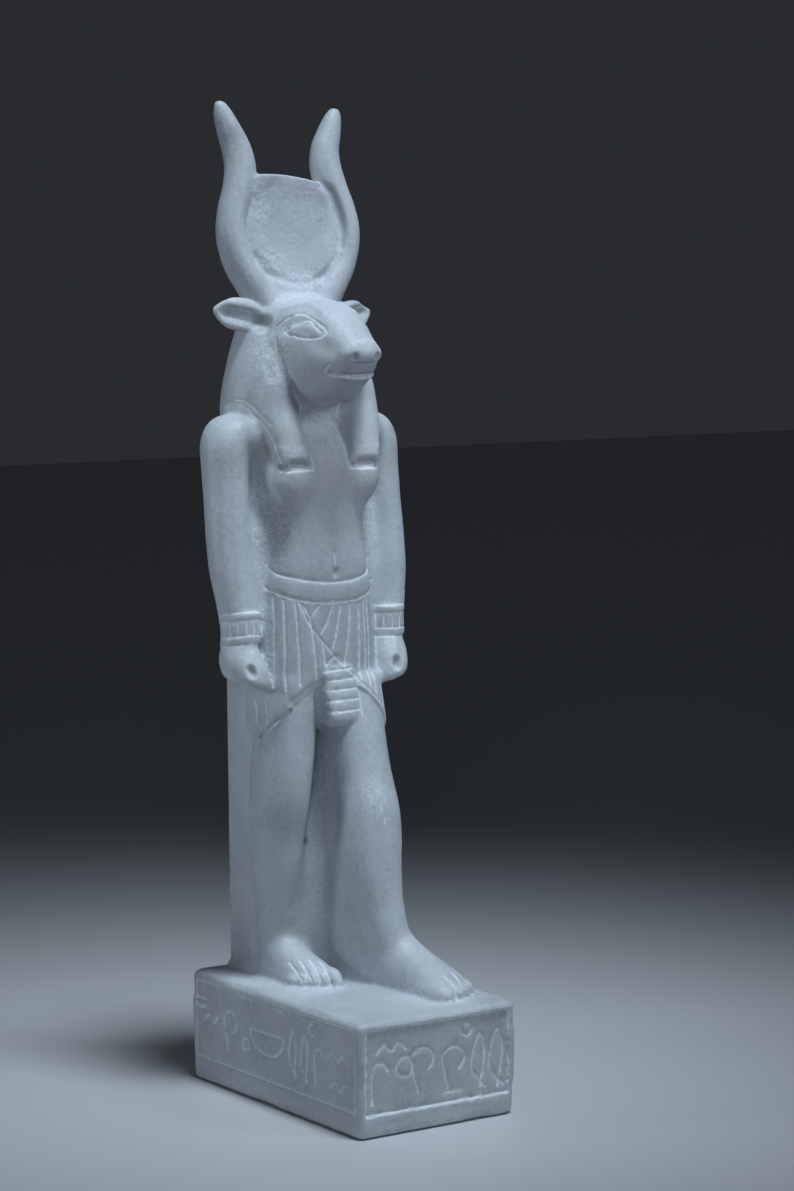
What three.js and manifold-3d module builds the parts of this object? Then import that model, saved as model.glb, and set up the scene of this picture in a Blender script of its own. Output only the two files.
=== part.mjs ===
// A cow-headed goddess standing against a back pillar on a block plinth, carved from one piece of white
// stone. Millimetres, +Z up. The figure faces -Y, so its own right hand is at -X. The origin is under the
// plinth's centre.
import * as THREE from 'three';
import { mergeVertices } from 'three/addons/utils/BufferGeometryUtils.js';
import Module from 'manifold-3d';

const wasm = await Module();
wasm.setup();

// Driving dimensions
const PLINTH = { width: 56.6, depth: 96, height: 34.6, corner: 1.4, edge: 1.6, taper: 0.985 };
const PANEL = { border: 3, foot: 7, crown: 2.6, sunk: 0.8, line: 1, markWidth: 1, markDepth: 0.6, clear: 1 };
const PILLAR = {
  halfWidth: 15, front: 30, back: 47, top: 206, flare: 2, flareHeight: 2.5, edge: 2, squareness: 8,
};
const TOE_LIFT = 1.4;
const PLEAT = { width: 1.1 };
const TAB = {
  top: 131.6, bottom: 113, topWidth: 11.6, bottomWidth: 13.4, topFront: 5, bottomFront: 2.6, back: 13,
  x: 1.1, stripes: [129.6, 126.8, 123.8, 120.8, 117.6], notch: 0.5, bevel: 0.8, heel: 1.8,
};
const DISC = { radius: 16.6, thick: 3.6, y: 30.6, z: 262.6, lean: 0.1 };
const HORN_SHORT = { from: 285, left: 0.91 };
const CLOTH = 0.7;
const HAND = { x: 21.3, y: 9, z: 124.5, out: 0.33, back: 0.08 };
const STONE = { color: 0xc9d1d8, roughness: 0.5, metalness: 0 };

// How many sides a ring of each size gets
const SIDES = { body: 22, limb: 12, small: 10, tiny: 6, pillar: 16, disc: 28 };

// Solids from rings

// One closed ring round `centre`. `across` and `along` are its axes, w its half width, near and far its
// reach along -along and +along, and n its squareness: 2 is an ellipse, 4 nearly a rounded box.
function ring(centre, across, along, w, near, far, n, sides) {
  const points = [];
  for (let i = 0; i < sides; i++) {
    const angle = (2 * Math.PI * i) / sides;
    const [c, s] = [Math.cos(angle), Math.sin(angle)];
    const u = w * Math.sign(c) * Math.abs(c) ** (2 / n);
    const v = (s < 0 ? near : far) * Math.sign(s) * Math.abs(s) ** (2 / n);
    points.push(centre.clone().addScaledVector(across, u).addScaledVector(along, v));
  }
  return points;
}

// A skin over a stack of rings, with a fan over each end.
function skin(rings) {
  const sides = rings[0].length;
  const points = rings.flat();
  const middle = (r) => r.reduce((sum, p) => sum.add(p), new THREE.Vector3()).divideScalar(sides);
  const index = [];
  for (let r = 0; r < rings.length - 1; r++) {
    for (let i = 0; i < sides; i++) {
      const [a, b] = [r * sides + i, r * sides + ((i + 1) % sides)];
      index.push(a, b, b + sides, a, b + sides, a + sides);
    }
  }
  const [foot, head] = [points.length, points.length + 1];
  points.push(middle(rings[0]), middle(rings.at(-1)));
  const last = (rings.length - 1) * sides;
  for (let i = 0; i < sides; i++) {
    const next = (i + 1) % sides;
    index.push(foot, next, i, head, last + i, last + next);
  }
  return new THREE.BufferGeometry().setFromPoints(points).setIndex(index);
}

// A three.js geometry as a manifold-3d solid. A skin that came out facing inwards is turned.
function solid(geometry) {
  const bare = geometry.clone();
  bare.deleteAttribute('normal');
  bare.deleteAttribute('uv');
  const merged = mergeVertices(bare, 1e-4);
  const make = (triVerts) => new wasm.Manifold(new wasm.Mesh({
    numProp: 3, vertProperties: new Float32Array(merged.attributes.position.array), triVerts }));
  const triVerts = new Uint32Array(merged.index.array);
  const made = make(triVerts);
  return made.volume() < 0 ? make(triVerts.reverse()) : made;
}

const X = new THREE.Vector3(1, 0, 0);
const Y = new THREE.Vector3(0, 1, 0);
const Z = new THREE.Vector3(0, 0, 1);

// A form of level rings stacked up Z. Stations hold x, y, z, w (half width), near and far (reach to -Y and
// +Y), n.
function stack(stations, sides, grow = 0) {
  return solid(skin(stations.map((s) => ring(new THREE.Vector3(s.x, s.y, s.z), X, Y,
    s.w + grow, s.near + grow, s.far + grow, s.n, sides))));
}

// A form of upright rings stacked along Y. Stations hold x, y, z, w, near and far (reach to -Z and +Z), n.
function train(stations, sides, grow = 0) {
  return solid(skin(stations.map((s) => ring(new THREE.Vector3(s.x, s.y, s.z), X, Z,
    s.w + grow, s.near + grow, s.far + grow, s.n, sides))));
}

// A form that follows a line in the XZ plane, such as a horn. w is its half width in that plane, d its half
// depth in Y.
function horn(stations, sides) {
  const spot = (s) => new THREE.Vector3(s.x, s.y, s.z);
  return solid(skin(stations.map((s, i) => {
    const before = spot(stations[Math.max(0, i - 1)]);
    const after = spot(stations[Math.min(stations.length - 1, i + 1)]);
    const way = after.sub(before).normalize();
    const across = new THREE.Vector3().crossVectors(Y, way).normalize();
    const along = new THREE.Vector3().crossVectors(way, across);
    return ring(spot(s), across, along, s.w, s.d, s.d, 2, sides);
  })));
}

function ball(x, y, z, rx, ry, rz, sides = SIDES.small) {
  const geometry = new THREE.SphereGeometry(1, sides, Math.round(sides * 0.6));
  return solid(geometry.scale(rx, ry, rz).translate(x, y, z));
}

const union = (...solids) => solids.reduce((sum, s) => sum.add(s));
const mirrored = (stations) => stations.map((s) => ({ ...s, x: -s.x }));
const rows = (fields, table) => table.map((r) => Object.fromEntries(fields.map((f, i) => [f, r[i]])));
const LEG_FIELDS = ['x', 'y', 'z', 'w', 'near', 'far', 'n'];

// Plinth and pillar

// A rounded oblong at height z, drawn in from the plinth's sides by `inset`.
function plinthLevel(z, inset, size) {
  const { width, depth, corner } = PLINTH;
  const [w, d] = [(width / 2) * size - inset, (depth / 2) * size - inset];
  const shape = new THREE.Shape();
  shape.moveTo(w - corner, -d);
  shape.absarc(w - corner, -d + corner, corner, -Math.PI / 2, 0);
  shape.absarc(w - corner, d - corner, corner, 0, Math.PI / 2);
  shape.absarc(-w + corner, d - corner, corner, Math.PI / 2, Math.PI);
  shape.absarc(-w + corner, -d + corner, corner, Math.PI, 1.5 * Math.PI);
  return shape.getPoints(3).slice(0, -1).map((p) => new THREE.Vector3(p.x, p.y, z));
}

function plinthBlock() {
  const { height, edge, taper } = PLINTH;
  return solid(skin([
    plinthLevel(0, edge * 0.6, taper), plinthLevel(edge * 0.6, 0, taper),
    plinthLevel(height - edge, 0, 1), plinthLevel(height - edge * 0.3, edge * 0.3, 1),
    plinthLevel(height, edge, 1),
  ]));
}

// A stroke of an even width along a line of [u, v] points, as a thin slab in the plane of the panel.
function stroke(points, width, thick) {
  const line = points.map(([u, v]) => new THREE.Vector2(u, v));
  const sides = line.map((p, i) => {
    const way = line[Math.min(i + 1, line.length - 1)].clone().sub(line[Math.max(i - 1, 0)]).normalize();
    return new THREE.Vector2(-way.y, way.x).multiplyScalar(width / 2);
  });
  const outline = [
    ...line.map((p, i) => p.clone().sub(sides[i])),
    ...line.map((p, i) => p.clone().add(sides[i])).reverse(),
  ];
  return new THREE.ExtrudeGeometry(new THREE.Shape(outline), { depth: thick, bevelEnabled: false });
}

// Points on an arc about (u, v), from one angle to another in degrees.
function arc(u, v, ru, rv, from, to, count) {
  return Array.from({ length: count + 1 }, (_, i) => {
    const angle = ((from + ((to - from) * i) / count) * Math.PI) / 180;
    return [u + ru * Math.cos(angle), v + rv * Math.sin(angle)];
  });
}

// The kinds of mark in the panels, drawn about their own middle, h tall or long.
const MARKS = {
  cane: (h) => [[-h * 0.2, -h / 2], [-h * 0.2, h * 0.2], ...arc(0, h * 0.25, h * 0.2, h * 0.2, 140, 0, 2)],
  wave: (h) => [0, 1, 2, 3, 4].map((i) => [(i / 4 - 0.5) * h, (i % 2 ? 1 : -1) * h * 0.11]),
  crook: (h) => [...arc(0, h * 0.2, h * 0.28, h * 0.26, -60, 180, 3), [-h * 0.1, -h / 2]],
  bowl: (h) => arc(0, h * 0.14, h / 2, h * 0.36, 180, 360, 3),
  nick: (h) => [[-h / 2, 0], [h / 2, 0]],
  ring: (h) => arc(0, 0, h / 2, h / 2, 0, 300, 4),
  leaf: (h) => arc(0, 0, h * 0.14, h / 2, -80, 200, 4),
};

// One row of marks for each marked side. [kind, u, v, size], u from the panel's middle, v from the ground.
const FRONT_MARKS = [
  ['wave', -16.4, 26.4, 10], ['cane', -20.4, 16.4, 13], ['ring', -11.6, 20, 6], ['crook', -5.4, 18.6, 14],
  ['crook', 5.6, 17.2, 14], ['nick', 5.4, 10.2, 6], ['ring', 10.4, 28, 3.6], ['leaf', 14.6, 18, 16],
  ['leaf', 21, 18, 17],
];
const SIDE_MARKS = [
  ['nick', -41.6, 26.2, 6], ['nick', -41.6, 23.6, 6], ['wave', -34, 20.6, 11], ['crook', -24, 19, 13],
  ['ring', -15, 16.4, 4], ['bowl', -3, 19.4, 19], ['nick', -3, 22, 19], ['ring', 22.4, 28, 3.6],
  ['leaf', 11.4, 18.4, 14], ['leaf', 17.8, 18.4, 14], ['cane', 26, 17, 13], ['wave', 36, 22, 11],
  ['wave', 37, 13.4, 11],
];

// A panel's cutters, drawn looking at its face: the sunk field or the outline inside its border, and its
// marks.
function panelCutters(width, marks, outward, isSunk) {
  const { border, foot, crown, sunk, line, markWidth, markDepth, clear } = PANEL;
  const [right, low, high] = [width / 2 - border, foot, PLINTH.height - crown];
  const floor = isSunk ? sunk : 0;
  const cuts = [];
  if (isSunk) {
    cuts.push(new THREE.BoxGeometry(2 * right, high - low, sunk + clear)
      .translate(0, (high + low) / 2, (clear - sunk) / 2));
  } else {
    const corners = [[-right, low], [right, low], [right, high], [-right, high]];
    corners.forEach((corner, i) => cuts.push(
      stroke([corner, corners[(i + 1) % 4]], line, markDepth + clear).translate(0, 0, -markDepth)));
  }
  for (const [kind, u, v, size] of marks) {
    const points = MARKS[kind](size).map(([du, dv]) => [u + du, v + dv]);
    cuts.push(stroke(points, markWidth, markDepth + clear).translate(0, 0, -floor - markDepth));
  }
  const turn = new THREE.Matrix4().makeBasis(new THREE.Vector3().crossVectors(Z, outward), Z, outward);
  return cuts.map((c) => solid(c.applyMatrix4(turn)));
}

function plinth() {
  const [w, d] = [PLINTH.width, PLINTH.depth];
  const lean = Math.atan((w * (1 - PLINTH.taper)) / 2 / PLINTH.height);
  const faces = [
    [w, FRONT_MARKS, new THREE.Vector3(0, -1, 0), d / 2, true],
    [d, SIDE_MARKS, new THREE.Vector3(-1, 0, 0), w / 2, false],
    [w, [], new THREE.Vector3(0, 1, 0), d / 2, false],
    [d, [], new THREE.Vector3(1, 0, 0), w / 2, false],
  ];
  let made = plinthBlock();
  for (const [width, marks, outward, reach, isSunk] of faces) {
    const middle = reach - (Math.tan(lean) * PLINTH.height) / 2;
    for (const cut of panelCutters(width, marks, outward, isSunk)) {
      made = made.subtract(cut.translate(outward.clone().multiplyScalar(middle).toArray()));
    }
  }
  return made;
}

function pillar() {
  const { halfWidth, front, back, top, flare, flareHeight, edge, squareness } = PILLAR;
  const [y, deep] = [(back + front) / 2, (back - front) / 2];
  return stack(rows(LEG_FIELDS, [
    [0, y - edge / 2, PLINTH.height - flareHeight, halfWidth + flare, deep, deep, squareness],
    [0, y, PLINTH.height + flareHeight, halfWidth, deep, deep, squareness],
    [0, y, top - edge, halfWidth, deep, deep, squareness],
    [0, y, top, halfWidth - edge, deep - edge, deep - edge, squareness],
  ]), SIDES.pillar);
}

// Legs and feet

const RIGHT_LEG = rows(LEG_FIELDS, [
  [-9.6, 26, 34, 6.2, 6.8, 7, 2.2],
  [-9.6, 26, 44, 5.6, 6.2, 6.6, 2.2],
  [-10, 25.2, 55, 6.2, 7.4, 7.8, 2.2],
  [-10.8, 23.8, 67, 7.2, 8.8, 9.2, 2.2],
  [-11.1, 22, 79, 7.9, 9.4, 10, 2.2],
  [-11.2, 20.6, 89, 8.7, 11, 11, 2.2],
  [-11, 19.6, 99, 8.6, 11.4, 11.4, 2.2],
  [-10.6, 19.2, 109, 8.5, 11.2, 11, 2.3],
  [-9.6, 19, 128, 9.3, 11, 11, 2.4],
]);
const LEFT_LEG = rows(LEG_FIELDS, [
  [11.2, -7, 34, 6.8, 7.4, 8, 2.2],
  [11.1, -6.4, 44, 6.2, 6.8, 7.4, 2.2],
  [9.8, -2.4, 59, 6.8, 7.6, 8.4, 2.2],
  [9.5, -0.6, 66, 7.6, 8.4, 9.4, 2.2],
  [9.6, 1.2, 73, 8.5, 9.2, 10, 2.2],
  [9.9, 2.8, 80, 9.1, 10.2, 10.4, 2.2],
  [9.9, 5, 89, 9.2, 11, 11, 2.2],
  [9.3, 10.8, 107, 9.4, 10.8, 11.6, 2.3],
  [9.3, 13.6, 116, 10, 11, 12, 2.3],
  [9.4, 17, 128, 10, 11, 12, 2.4],
]);

// One foot, heel at heelY. Stations hold the distance from the heel, the inner and outer edge from middleX,
// and the height. Each toe is given as how far inwards it lies, its distance from the heel, its half width,
// half length and height.
const FOOT_RING = { near: 2, n: 2.3 };

function foot(side, middleX, heelY, table, toes) {
  const stations = table.map(([run, inner, outer, high]) => ({
    x: side * (middleX + (outer - inner) / 2), y: heelY - run, z: PLINTH.height,
    w: (inner + outer) / 2, far: high, ...FOOT_RING,
  }));
  const balls = toes.map(([inwards, run, w, long, high]) => ball(side * (middleX - inwards), heelY - run,
    PLINTH.height + TOE_LIFT, w, long, high - TOE_LIFT, SIDES.tiny));
  return union(train(stations, SIDES.small), ...balls);
}

const RIGHT_FOOT = [
  [0.4, 3, 3, 5], [2.5, 5, 5, 11], [8, 6, 6.6, 15], [13, 6.6, 7, 12.8], [19, 7.4, 7.4, 10],
  [24.4, 7.8, 7, 8], [28, 7.6, 4.8, 6.6], [31, 6.8, 2, 5],
];
const LEFT_FOOT = [
  [0.4, 4, 4, 6], [3, 6.4, 6, 12], [9, 7.8, 7.4, 18], [15, 7.6, 8.4, 14.6], [21, 7, 9.8, 11.2],
  [30, 6.4, 10.6, 8], [35, 6.1, 9, 6.2], [38.6, 5.6, 5.4, 4.8], [41, 4.8, 1.4, 3.6],
];
const RIGHT_FOOT_PLACE = { x: 9.6, heel: 33 };
const LEFT_FOOT_PLACE = { x: 12.6, heel: 2.6 };
const RIGHT_TOES = [
  [4.6, 30, 3.2, 5, 5.6], [0.7, 28.8, 2.3, 4.6, 5.2], [-2.1, 27.2, 2.2, 4.4, 4.9], [-4.7, 25, 2, 4.2, 4.5],
  [-6.7, 22.4, 1.7, 3.8, 4],
];
const LEFT_TOES = [
  [2.8, 37.6, 3.6, 4.8, 5.2], [-2.1, 36.8, 2.3, 4.6, 5], [-5.3, 35.4, 2.2, 4.4, 4.8],
  [-8.2, 33.4, 2, 4.2, 4.5], [-10.3, 30.8, 1.7, 3.8, 4],
];

// The stone left standing between the forward leg, the other leg and the pillar, and the floor of the
// valley beside it.
const LEG_WEB = rows(LEG_FIELDS, [
  [9.7, 18, 34, 5.9, 24.6, 16, 4],
  [9, 19, 60, 6.2, 19.6, 16, 4],
  [7.9, 21, 90, 7.3, 16.4, 16, 4],
  [7.7, 22, 118, 7.4, 13, 14, 4],
]);
const VALLEY = rows(LEG_FIELDS, [
  [-2, 30, 34, 9, 10.5, 8, 4],
  [-2, 30, 74, 9, 12.2, 8, 4],
  [-2, 30, 86, 9, 12.6, 8, 4],
  [-2, 30, 96, 9, 11, 8, 4],
  [-2, 30, 118, 9, 8.2, 8, 4],
]);

// Trunk and arms

const TRUNK = rows(LEG_FIELDS, [
  [0, 19, 152, 17.8, 13, 14, 2.2],
  [0, 19, 158, 17.8, 14.4, 14.5, 2.2],
  [0, 19, 168, 16.4, 13.4, 14.5, 2.2],
  [0, 19, 174, 16.4, 12.4, 14.5, 2.25],
  [0, 19.4, 181, 18, 12, 15, 2.35],
  [0, 20, 188, 20, 12.4, 15.5, 2.4],
  [0, 21, 196, 21.5, 12, 15, 2.5],
  [0, 23, 203, 20.5, 9.6, 13, 2.4],
]);
const SHOULDERS = rows(LEG_FIELDS, [
  [0, 23, 188, 20, 8, 8, 2.4],
  [0, 23, 195, 23.5, 9.4, 9, 2.6],
  [0, 24, 201, 26, 9.8, 9, 2.8],
  [0, 24.6, 205, 25, 8.2, 8.4, 2.8],
  [0, 25, 208.4, 21, 5, 6, 2.6],
]);
const BREAST = { x: 11.8, y: 12.4, z: 186.6, w: 9.4, deep: 6.8, high: 11.6 };
const NAVEL = { y: 4.4, z: 160.4, w: 1.1, deep: 1.2, high: 1.3 };
const NECK = rows(LEG_FIELDS, [[0, 22, 203, 9, 9, 9, 2], [0, 22, 218, 9, 9, 9, 2]]);

// The flat stone behind the trunk that joins the arms to it.
const SLAB = rows(LEG_FIELDS, [
  [0, 27.5, 126, 20, 5.5, 8, 5],
  [0, 27.5, 196, 20.4, 5.5, 8, 5],
  [0, 27.5, 202, 19, 5, 7, 5],
]);

const ARM = rows(LEG_FIELDS, [
  [22, 25.6, 207.8, 4, 4, 4.5, 2],
  [24, 25.2, 205.4, 7, 7, 7.2, 2],
  [25.6, 24.8, 199.6, 8.2, 8.6, 8.8, 2.1],
  [26.8, 24.2, 191, 7.1, 8, 8.2, 2.1],
  [27.4, 22.8, 180, 6.2, 7.1, 7.6, 2.1],
  [27.7, 21.6, 170, 6, 6.7, 7.4, 2.1],
  [27.5, 20.2, 160, 5.9, 6.4, 6.8, 2.1],
  [26.9, 18.8, 150, 5.6, 6, 6.1, 2.1],
  [26.5, 18.4, 147.6, 5.5, 5.8, 5.9, 2.1],
]);

// The bracelet: two rims with a lower field between them. Each row is a height and how far it stands proud.
const BRACELET = [
  [147.4, 0.5], [145.6, 0.5], [145.2, 0.1], [141, 0.1], [140.6, 0.5], [138.8, 0.5], [138.4, 0],
].map(([z, proud]) => ({
  x: 26.3, y: 18.2, z, w: 5.4 + proud, near: 5.8 + proud, far: 5.8 + proud, n: 2.1,
}));

// The fist, down to a flat cut that drops to the front and inwards. The right one lies a little further out.
const FIST = rows(LEG_FIELDS, [
  [26.2, 18, 138, 5.4, 6, 6, 2.2],
  [25.9, 17.4, 134, 6.2, 8, 8, 2.3],
  [25.2, 16.6, 130, 6.1, 9, 8, 2.5],
  [24.4, 15.6, 125, 5.6, 8.6, 7.4, 2.5],
  [24, 15, 118, 5, 8, 7, 2.5],
]);
const FIST_OUT = { right: 0.5, left: -0.6 };
const GRIP = { x: 28.4, y: 9.4, z: 132.4, w: 2.2, deep: 2, high: 2 };

function arm(side) {
  const limb = [...ARM, ...BRACELET];
  const [upper, hand] = side < 0 ? [mirrored(limb), mirrored(FIST)] : [limb, FIST];
  const hole = ball(side * GRIP.x, GRIP.y, GRIP.z, GRIP.w, GRIP.deep, GRIP.high, SIDES.tiny);
  const facing = new THREE.Vector3(-side * HAND.out, -HAND.back, 1).normalize();
  const corner = new THREE.Vector3(side * HAND.x, HAND.y, HAND.z);
  const out = side * (side < 0 ? FIST_OUT.right : FIST_OUT.left);
  const fist = stack(hand, SIDES.limb).translate([out, 0, 0])
    .trimByPlane(facing.toArray(), facing.dot(corner));
  return union(stack(upper, SIDES.limb), fist.subtract(hole));
}

// Kilt

const KILT = rows(LEG_FIELDS, [
  [0, 21, 98, 19.8, 9, 15, 2.3],
  [0, 21, 110, 20, 10.5, 15.4, 2.3],
  [0, 20, 122, 20.3, 12.6, 16, 2.3],
  [0, 19, 130, 20.4, 13.2, 16, 2.35],
  [0, 19, 142, 20.1, 13.6, 16, 2.35],
  [0, 19, 152, 19, 14.1, 16, 2.3],
  [0, 19, 160, 18.2, 14.3, 15, 2.2],
  [0, 19, 166, 17.4, 14, 15, 2.2],
]);
const HIP = 89;

// The two edges of the belt: height at the front of the belly, and the rise per millimetre backwards.
const BELT = { low: 150.3, high: 156.6, front: 5, rise: 0.35, line: 1, depth: 0.7 };

// The hem's line seen from the front: low at the sides, high in the middle.
const HEM = [
  [-30, 90], [-20.3, 108.6], [-16.5, 117], [-13.4, 120.3], [-8.5, 123.6], [-2, 126.4], [6, 125.4],
  [11, 122.6], [16.2, 116.6], [20.3, 109], [30, 90],
];

// The edge of the cloth that wraps over, and the pleats on either side of it, seen from the front.
const WRAP = [[-11.5, 151.9], [-8.6, 146], [-5.2, 140.8], [-0.4, 134.7], [8.6, 126.1]];
const PLEATS = [
  [[-17.6, 154], [-18.6, 122]], [[-15.3, 152.3], [-15.3, 118]], [[-12.5, 151.7], [-11.3, 121]],
  [[-8.9, 145.6], [-6.4, 125]], [[-5.2, 140.8], [-3.4, 131.4]],
  [[-5.3, 150.3], [-8.8, 145.9]], [[-1.2, 150.3], [-4.9, 141.1]], [[2.1, 150.1], [-1.3, 135.6]],
  [[5.9, 150], [3.4, 131.4]], [[9.2, 150.4], [9, 126]], [[12.2, 150.6], [13.2, 121]],
  [[16.2, 152.6], [17.6, 117]],
];

// A cutter for a line drawn on the front, its points as [x, z]. It ends inside the body at `back`.
const FRONT_CUT = { reach: 40, back: 18 };

function frontCutter(points, width) {
  return solid(stroke(points, width, FRONT_CUT.reach).rotateX(Math.PI / 2).translate(0, FRONT_CUT.back, 0));
}

// A cutter for a line drawn on one side, its points as [y, z], from x0 outwards by `reach`.
function sideCutter(points, width, x0, reach) {
  return solid(stroke(points, width, reach).applyMatrix4(new THREE.Matrix4().makeBasis(Y, Z, X))
    .translate(x0, 0, 0));
}

// Cutters that are larger than the kilt: the slab that a belt line is cut from, and the field below the hem.
const KILT_CUT = { wide: 60, deep: 90, high: 20, floor: 80, hemReach: 100, hemBack: 60 };

function kilt() {
  const { low, high, front, rise, line, depth } = BELT;
  const thighs = [RIGHT_LEG, LEFT_LEG].map((leg) => leg.filter((s) => s.z >= HIP));
  const made = (grow) => union(stack(KILT, SIDES.body, grow),
    ...thighs.map((thigh) => stack(thigh, SIDES.limb, CLOTH + grow)));
  const [body, core] = [made(0), made(-depth)];
  const tilt = Math.atan(rise);
  const slab = (z, thick) => solid(new THREE.BoxGeometry(KILT_CUT.wide, KILT_CUT.deep, thick)
    .rotateX(tilt).translate(0, 0, z - front * rise));
  const loop = [...HEM, [HEM.at(-1)[0], KILT_CUT.floor], [HEM[0][0], KILT_CUT.floor]];
  const below = new THREE.Shape(loop.map(([x, z]) => new THREE.Vector2(x, z)));
  const hem = solid(new THREE.ExtrudeGeometry(below, { depth: KILT_CUT.hemReach, bevelEnabled: false })
    .rotateX(Math.PI / 2).translate(0, KILT_CUT.hemBack, 0));
  const top = slab(high + KILT_CUT.high / 2, KILT_CUT.high);
  const lines = union(slab(low, line), ...[WRAP, ...PLEATS].map((p) => frontCutter(p, PLEAT.width)));
  return body.subtract(hem).subtract(top).subtract(lines.subtract(core));
}

// The striped tab that hangs in front: it leans outwards and widens towards its lower end. It is its side
// outline, with a notch for each stripe, drawn out along X.
function tab() {
  const { top, bottom, topWidth, bottomWidth, topFront, bottomFront, back, x } = TAB;
  const { stripes, notch, bevel, heel } = TAB;
  const front = (z) => bottomFront + ((topFront - bottomFront) * (z - bottom)) / (top - bottom);
  const edge = stripes.flatMap((z) => [
    [front(z), z + notch], [front(z) + notch, z + notch * 0.6], [front(z) + notch, z - notch * 0.6],
    [front(z), z - notch],
  ]);
  const outline = [
    [back, top], [topFront + bevel, top], [topFront, top - bevel], ...edge,
    [bottomFront, bottom + heel], [bottomFront + heel / 3, bottom + heel / 3], [bottomFront + heel, bottom],
    [back, bottom],
  ];
  const shape = new THREE.Shape(outline.map(([y, z]) => new THREE.Vector2(y, z)));
  const geometry = new THREE.ExtrudeGeometry(shape, { depth: 1, bevelEnabled: false })
    .translate(0, 0, -0.5).applyMatrix4(new THREE.Matrix4().makeBasis(Y, Z, X));
  const place = geometry.attributes.position;
  for (let i = 0; i < place.count; i++) {
    const down = (top - place.getZ(i)) / (top - bottom);
    place.setX(i, x + place.getX(i) * (topWidth + (bottomWidth - topWidth) * down));
  }
  return solid(geometry);
}

// Head, wig and crown

const HEAD = rows(LEG_FIELDS, [
  [0, 33, 228, 12.4, 10.6, 12.4, 2.2],
  [0, 26, 227.5, 15, 15.6, 14.8, 2.3],
  [0, 18, 227, 15.6, 17.4, 15.6, 2.3],
  [0, 11, 226.6, 15, 16.8, 15.4, 2.3],
  [0, 5, 226, 13.2, 14.6, 14.2, 2.25],
  [0, 0, 225.2, 11, 11.8, 13.4, 2.2],
  [0, -4.5, 224.8, 8.7, 9, 10.7, 2.2],
  [0, -7.6, 225.2, 7.2, 7.3, 7.8, 2.3],
  [0, -9.8, 225.8, 6.4, 4.9, 5.4, 2.4],
  [0, -12.7, 226.2, 3.6, 2, 2.4, 2.2],
]);
const NOSE_PAD = { y: -9.6, z: 226, w: 7.3, deep: 4, high: 3.8 };
const NOSTRIL = { x: 3.9, y: -13.4, z: 225.2, w: 1.2, deep: 2, high: 1 };

// The lines of the eye on the side of the head, and the mouth, seen from the side as [y, z].
const EYE = {
  lid: [[14.4, 234.8], [8, 237.6], [2, 235.4], [-2.9, 232.4]],
  ball: [[8.6, 233.3], [5, 235.6], [0, 232.4]],
  under: [[11.3, 232.4], [3.4, 230.9], [-2.9, 232.4]],
  width: 0.9,
  depth: 0.8,
  clear: 2,
};
const MOUTH = { line: [[-4.6, 220.8], [-7.4, 220], [-14, 219]], width: 1.1 };

function head() {
  const pad = ball(0, NOSE_PAD.y, NOSE_PAD.z, NOSE_PAD.w, NOSE_PAD.deep, NOSE_PAD.high);
  const body = union(train(HEAD, SIDES.body), pad);
  const core = train(HEAD, SIDES.body, -EYE.depth);
  const reach = 20;
  const eyes = [-reach - EYE.clear, EYE.clear].flatMap((x0) => [EYE.lid, EYE.ball, EYE.under]
    .map((line) => sideCutter(line, EYE.width, x0, reach)));
  const mouth = sideCutter(MOUTH.line, MOUTH.width, -reach, 2 * reach);
  const nostrils = [-1, 1].map((side) => ball(
    side * NOSTRIL.x, NOSTRIL.y, NOSTRIL.z, NOSTRIL.w, NOSTRIL.deep, NOSTRIL.high, SIDES.tiny));
  return body.subtract(union(...eyes, mouth).subtract(core)).subtract(union(...nostrils));
}

const WIG = rows(LEG_FIELDS, [
  [0, 28, 198, 20, 12, 16, 2.4],
  [0, 28, 205, 23, 14, 17, 2.4],
  [0, 28, 212, 23.3, 15, 16.5, 2.4],
  [0, 28, 220, 22, 14.5, 15.5, 2.3],
  [0, 28, 228, 19.8, 13, 14.5, 2.3],
  [0, 28, 236, 17, 12, 13, 2.2],
  [0, 28, 241, 12.5, 9.5, 10.5, 2.2],
  [0, 28, 244, 7, 6, 7, 2.1],
]);

const LAPPET = rows(LEG_FIELDS, [
  [12.1, 10, 191.6, 4.8, 4.2, 4.4, 3.4],
  [12.1, 10, 192.6, 5.3, 4.5, 5, 3.4],
  [13.1, 11.2, 198, 5.6, 5, 7, 3],
  [14.1, 14, 204, 6.2, 6.8, 12, 2.6],
  [14.6, 18, 211, 6.4, 9, 14, 2.4],
  [14.4, 19.6, 218, 5.8, 9.8, 14, 2.3],
  [12.4, 24, 232, 4, 7, 10, 2.2],
  [11, 26, 238, 3, 4, 5, 2.2],
]);

const HORN = rows(['x', 'y', 'z', 'w', 'd'], [
  [7.4, 27.6, 235, 6, 5.5],
  [10.2, 27.8, 240.6, 5.3, 5.3],
  [14.3, 28.4, 246.6, 5, 5.1],
  [18.4, 29.2, 253.4, 4.8, 5],
  [20.5, 29.8, 261.5, 4.6, 4.8],
  [19.7, 30.4, 268.4, 4.5, 4.6],
  [17.1, 31.2, 275, 4.9, 4.4],
  [15.4, 32.4, 281.4, 5.2, 4.2],
  [15.9, 33.6, 287.4, 4.7, 3.9],
  [17.9, 34.5, 293, 3.9, 3.5],
  [20.7, 35.2, 301.8, 1.4, 1.3],
]);

// The right horn as it stands, and the left one a little shorter at its tip.
function hornPair() {
  const { from, left } = HORN_SHORT;
  const short = HORN.map((s) => ({ ...s, z: s.z < from ? s.z : from + (s.z - from) * left }));
  return union(horn(mirrored(HORN), SIDES.small), horn(short, SIDES.small));
}

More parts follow.
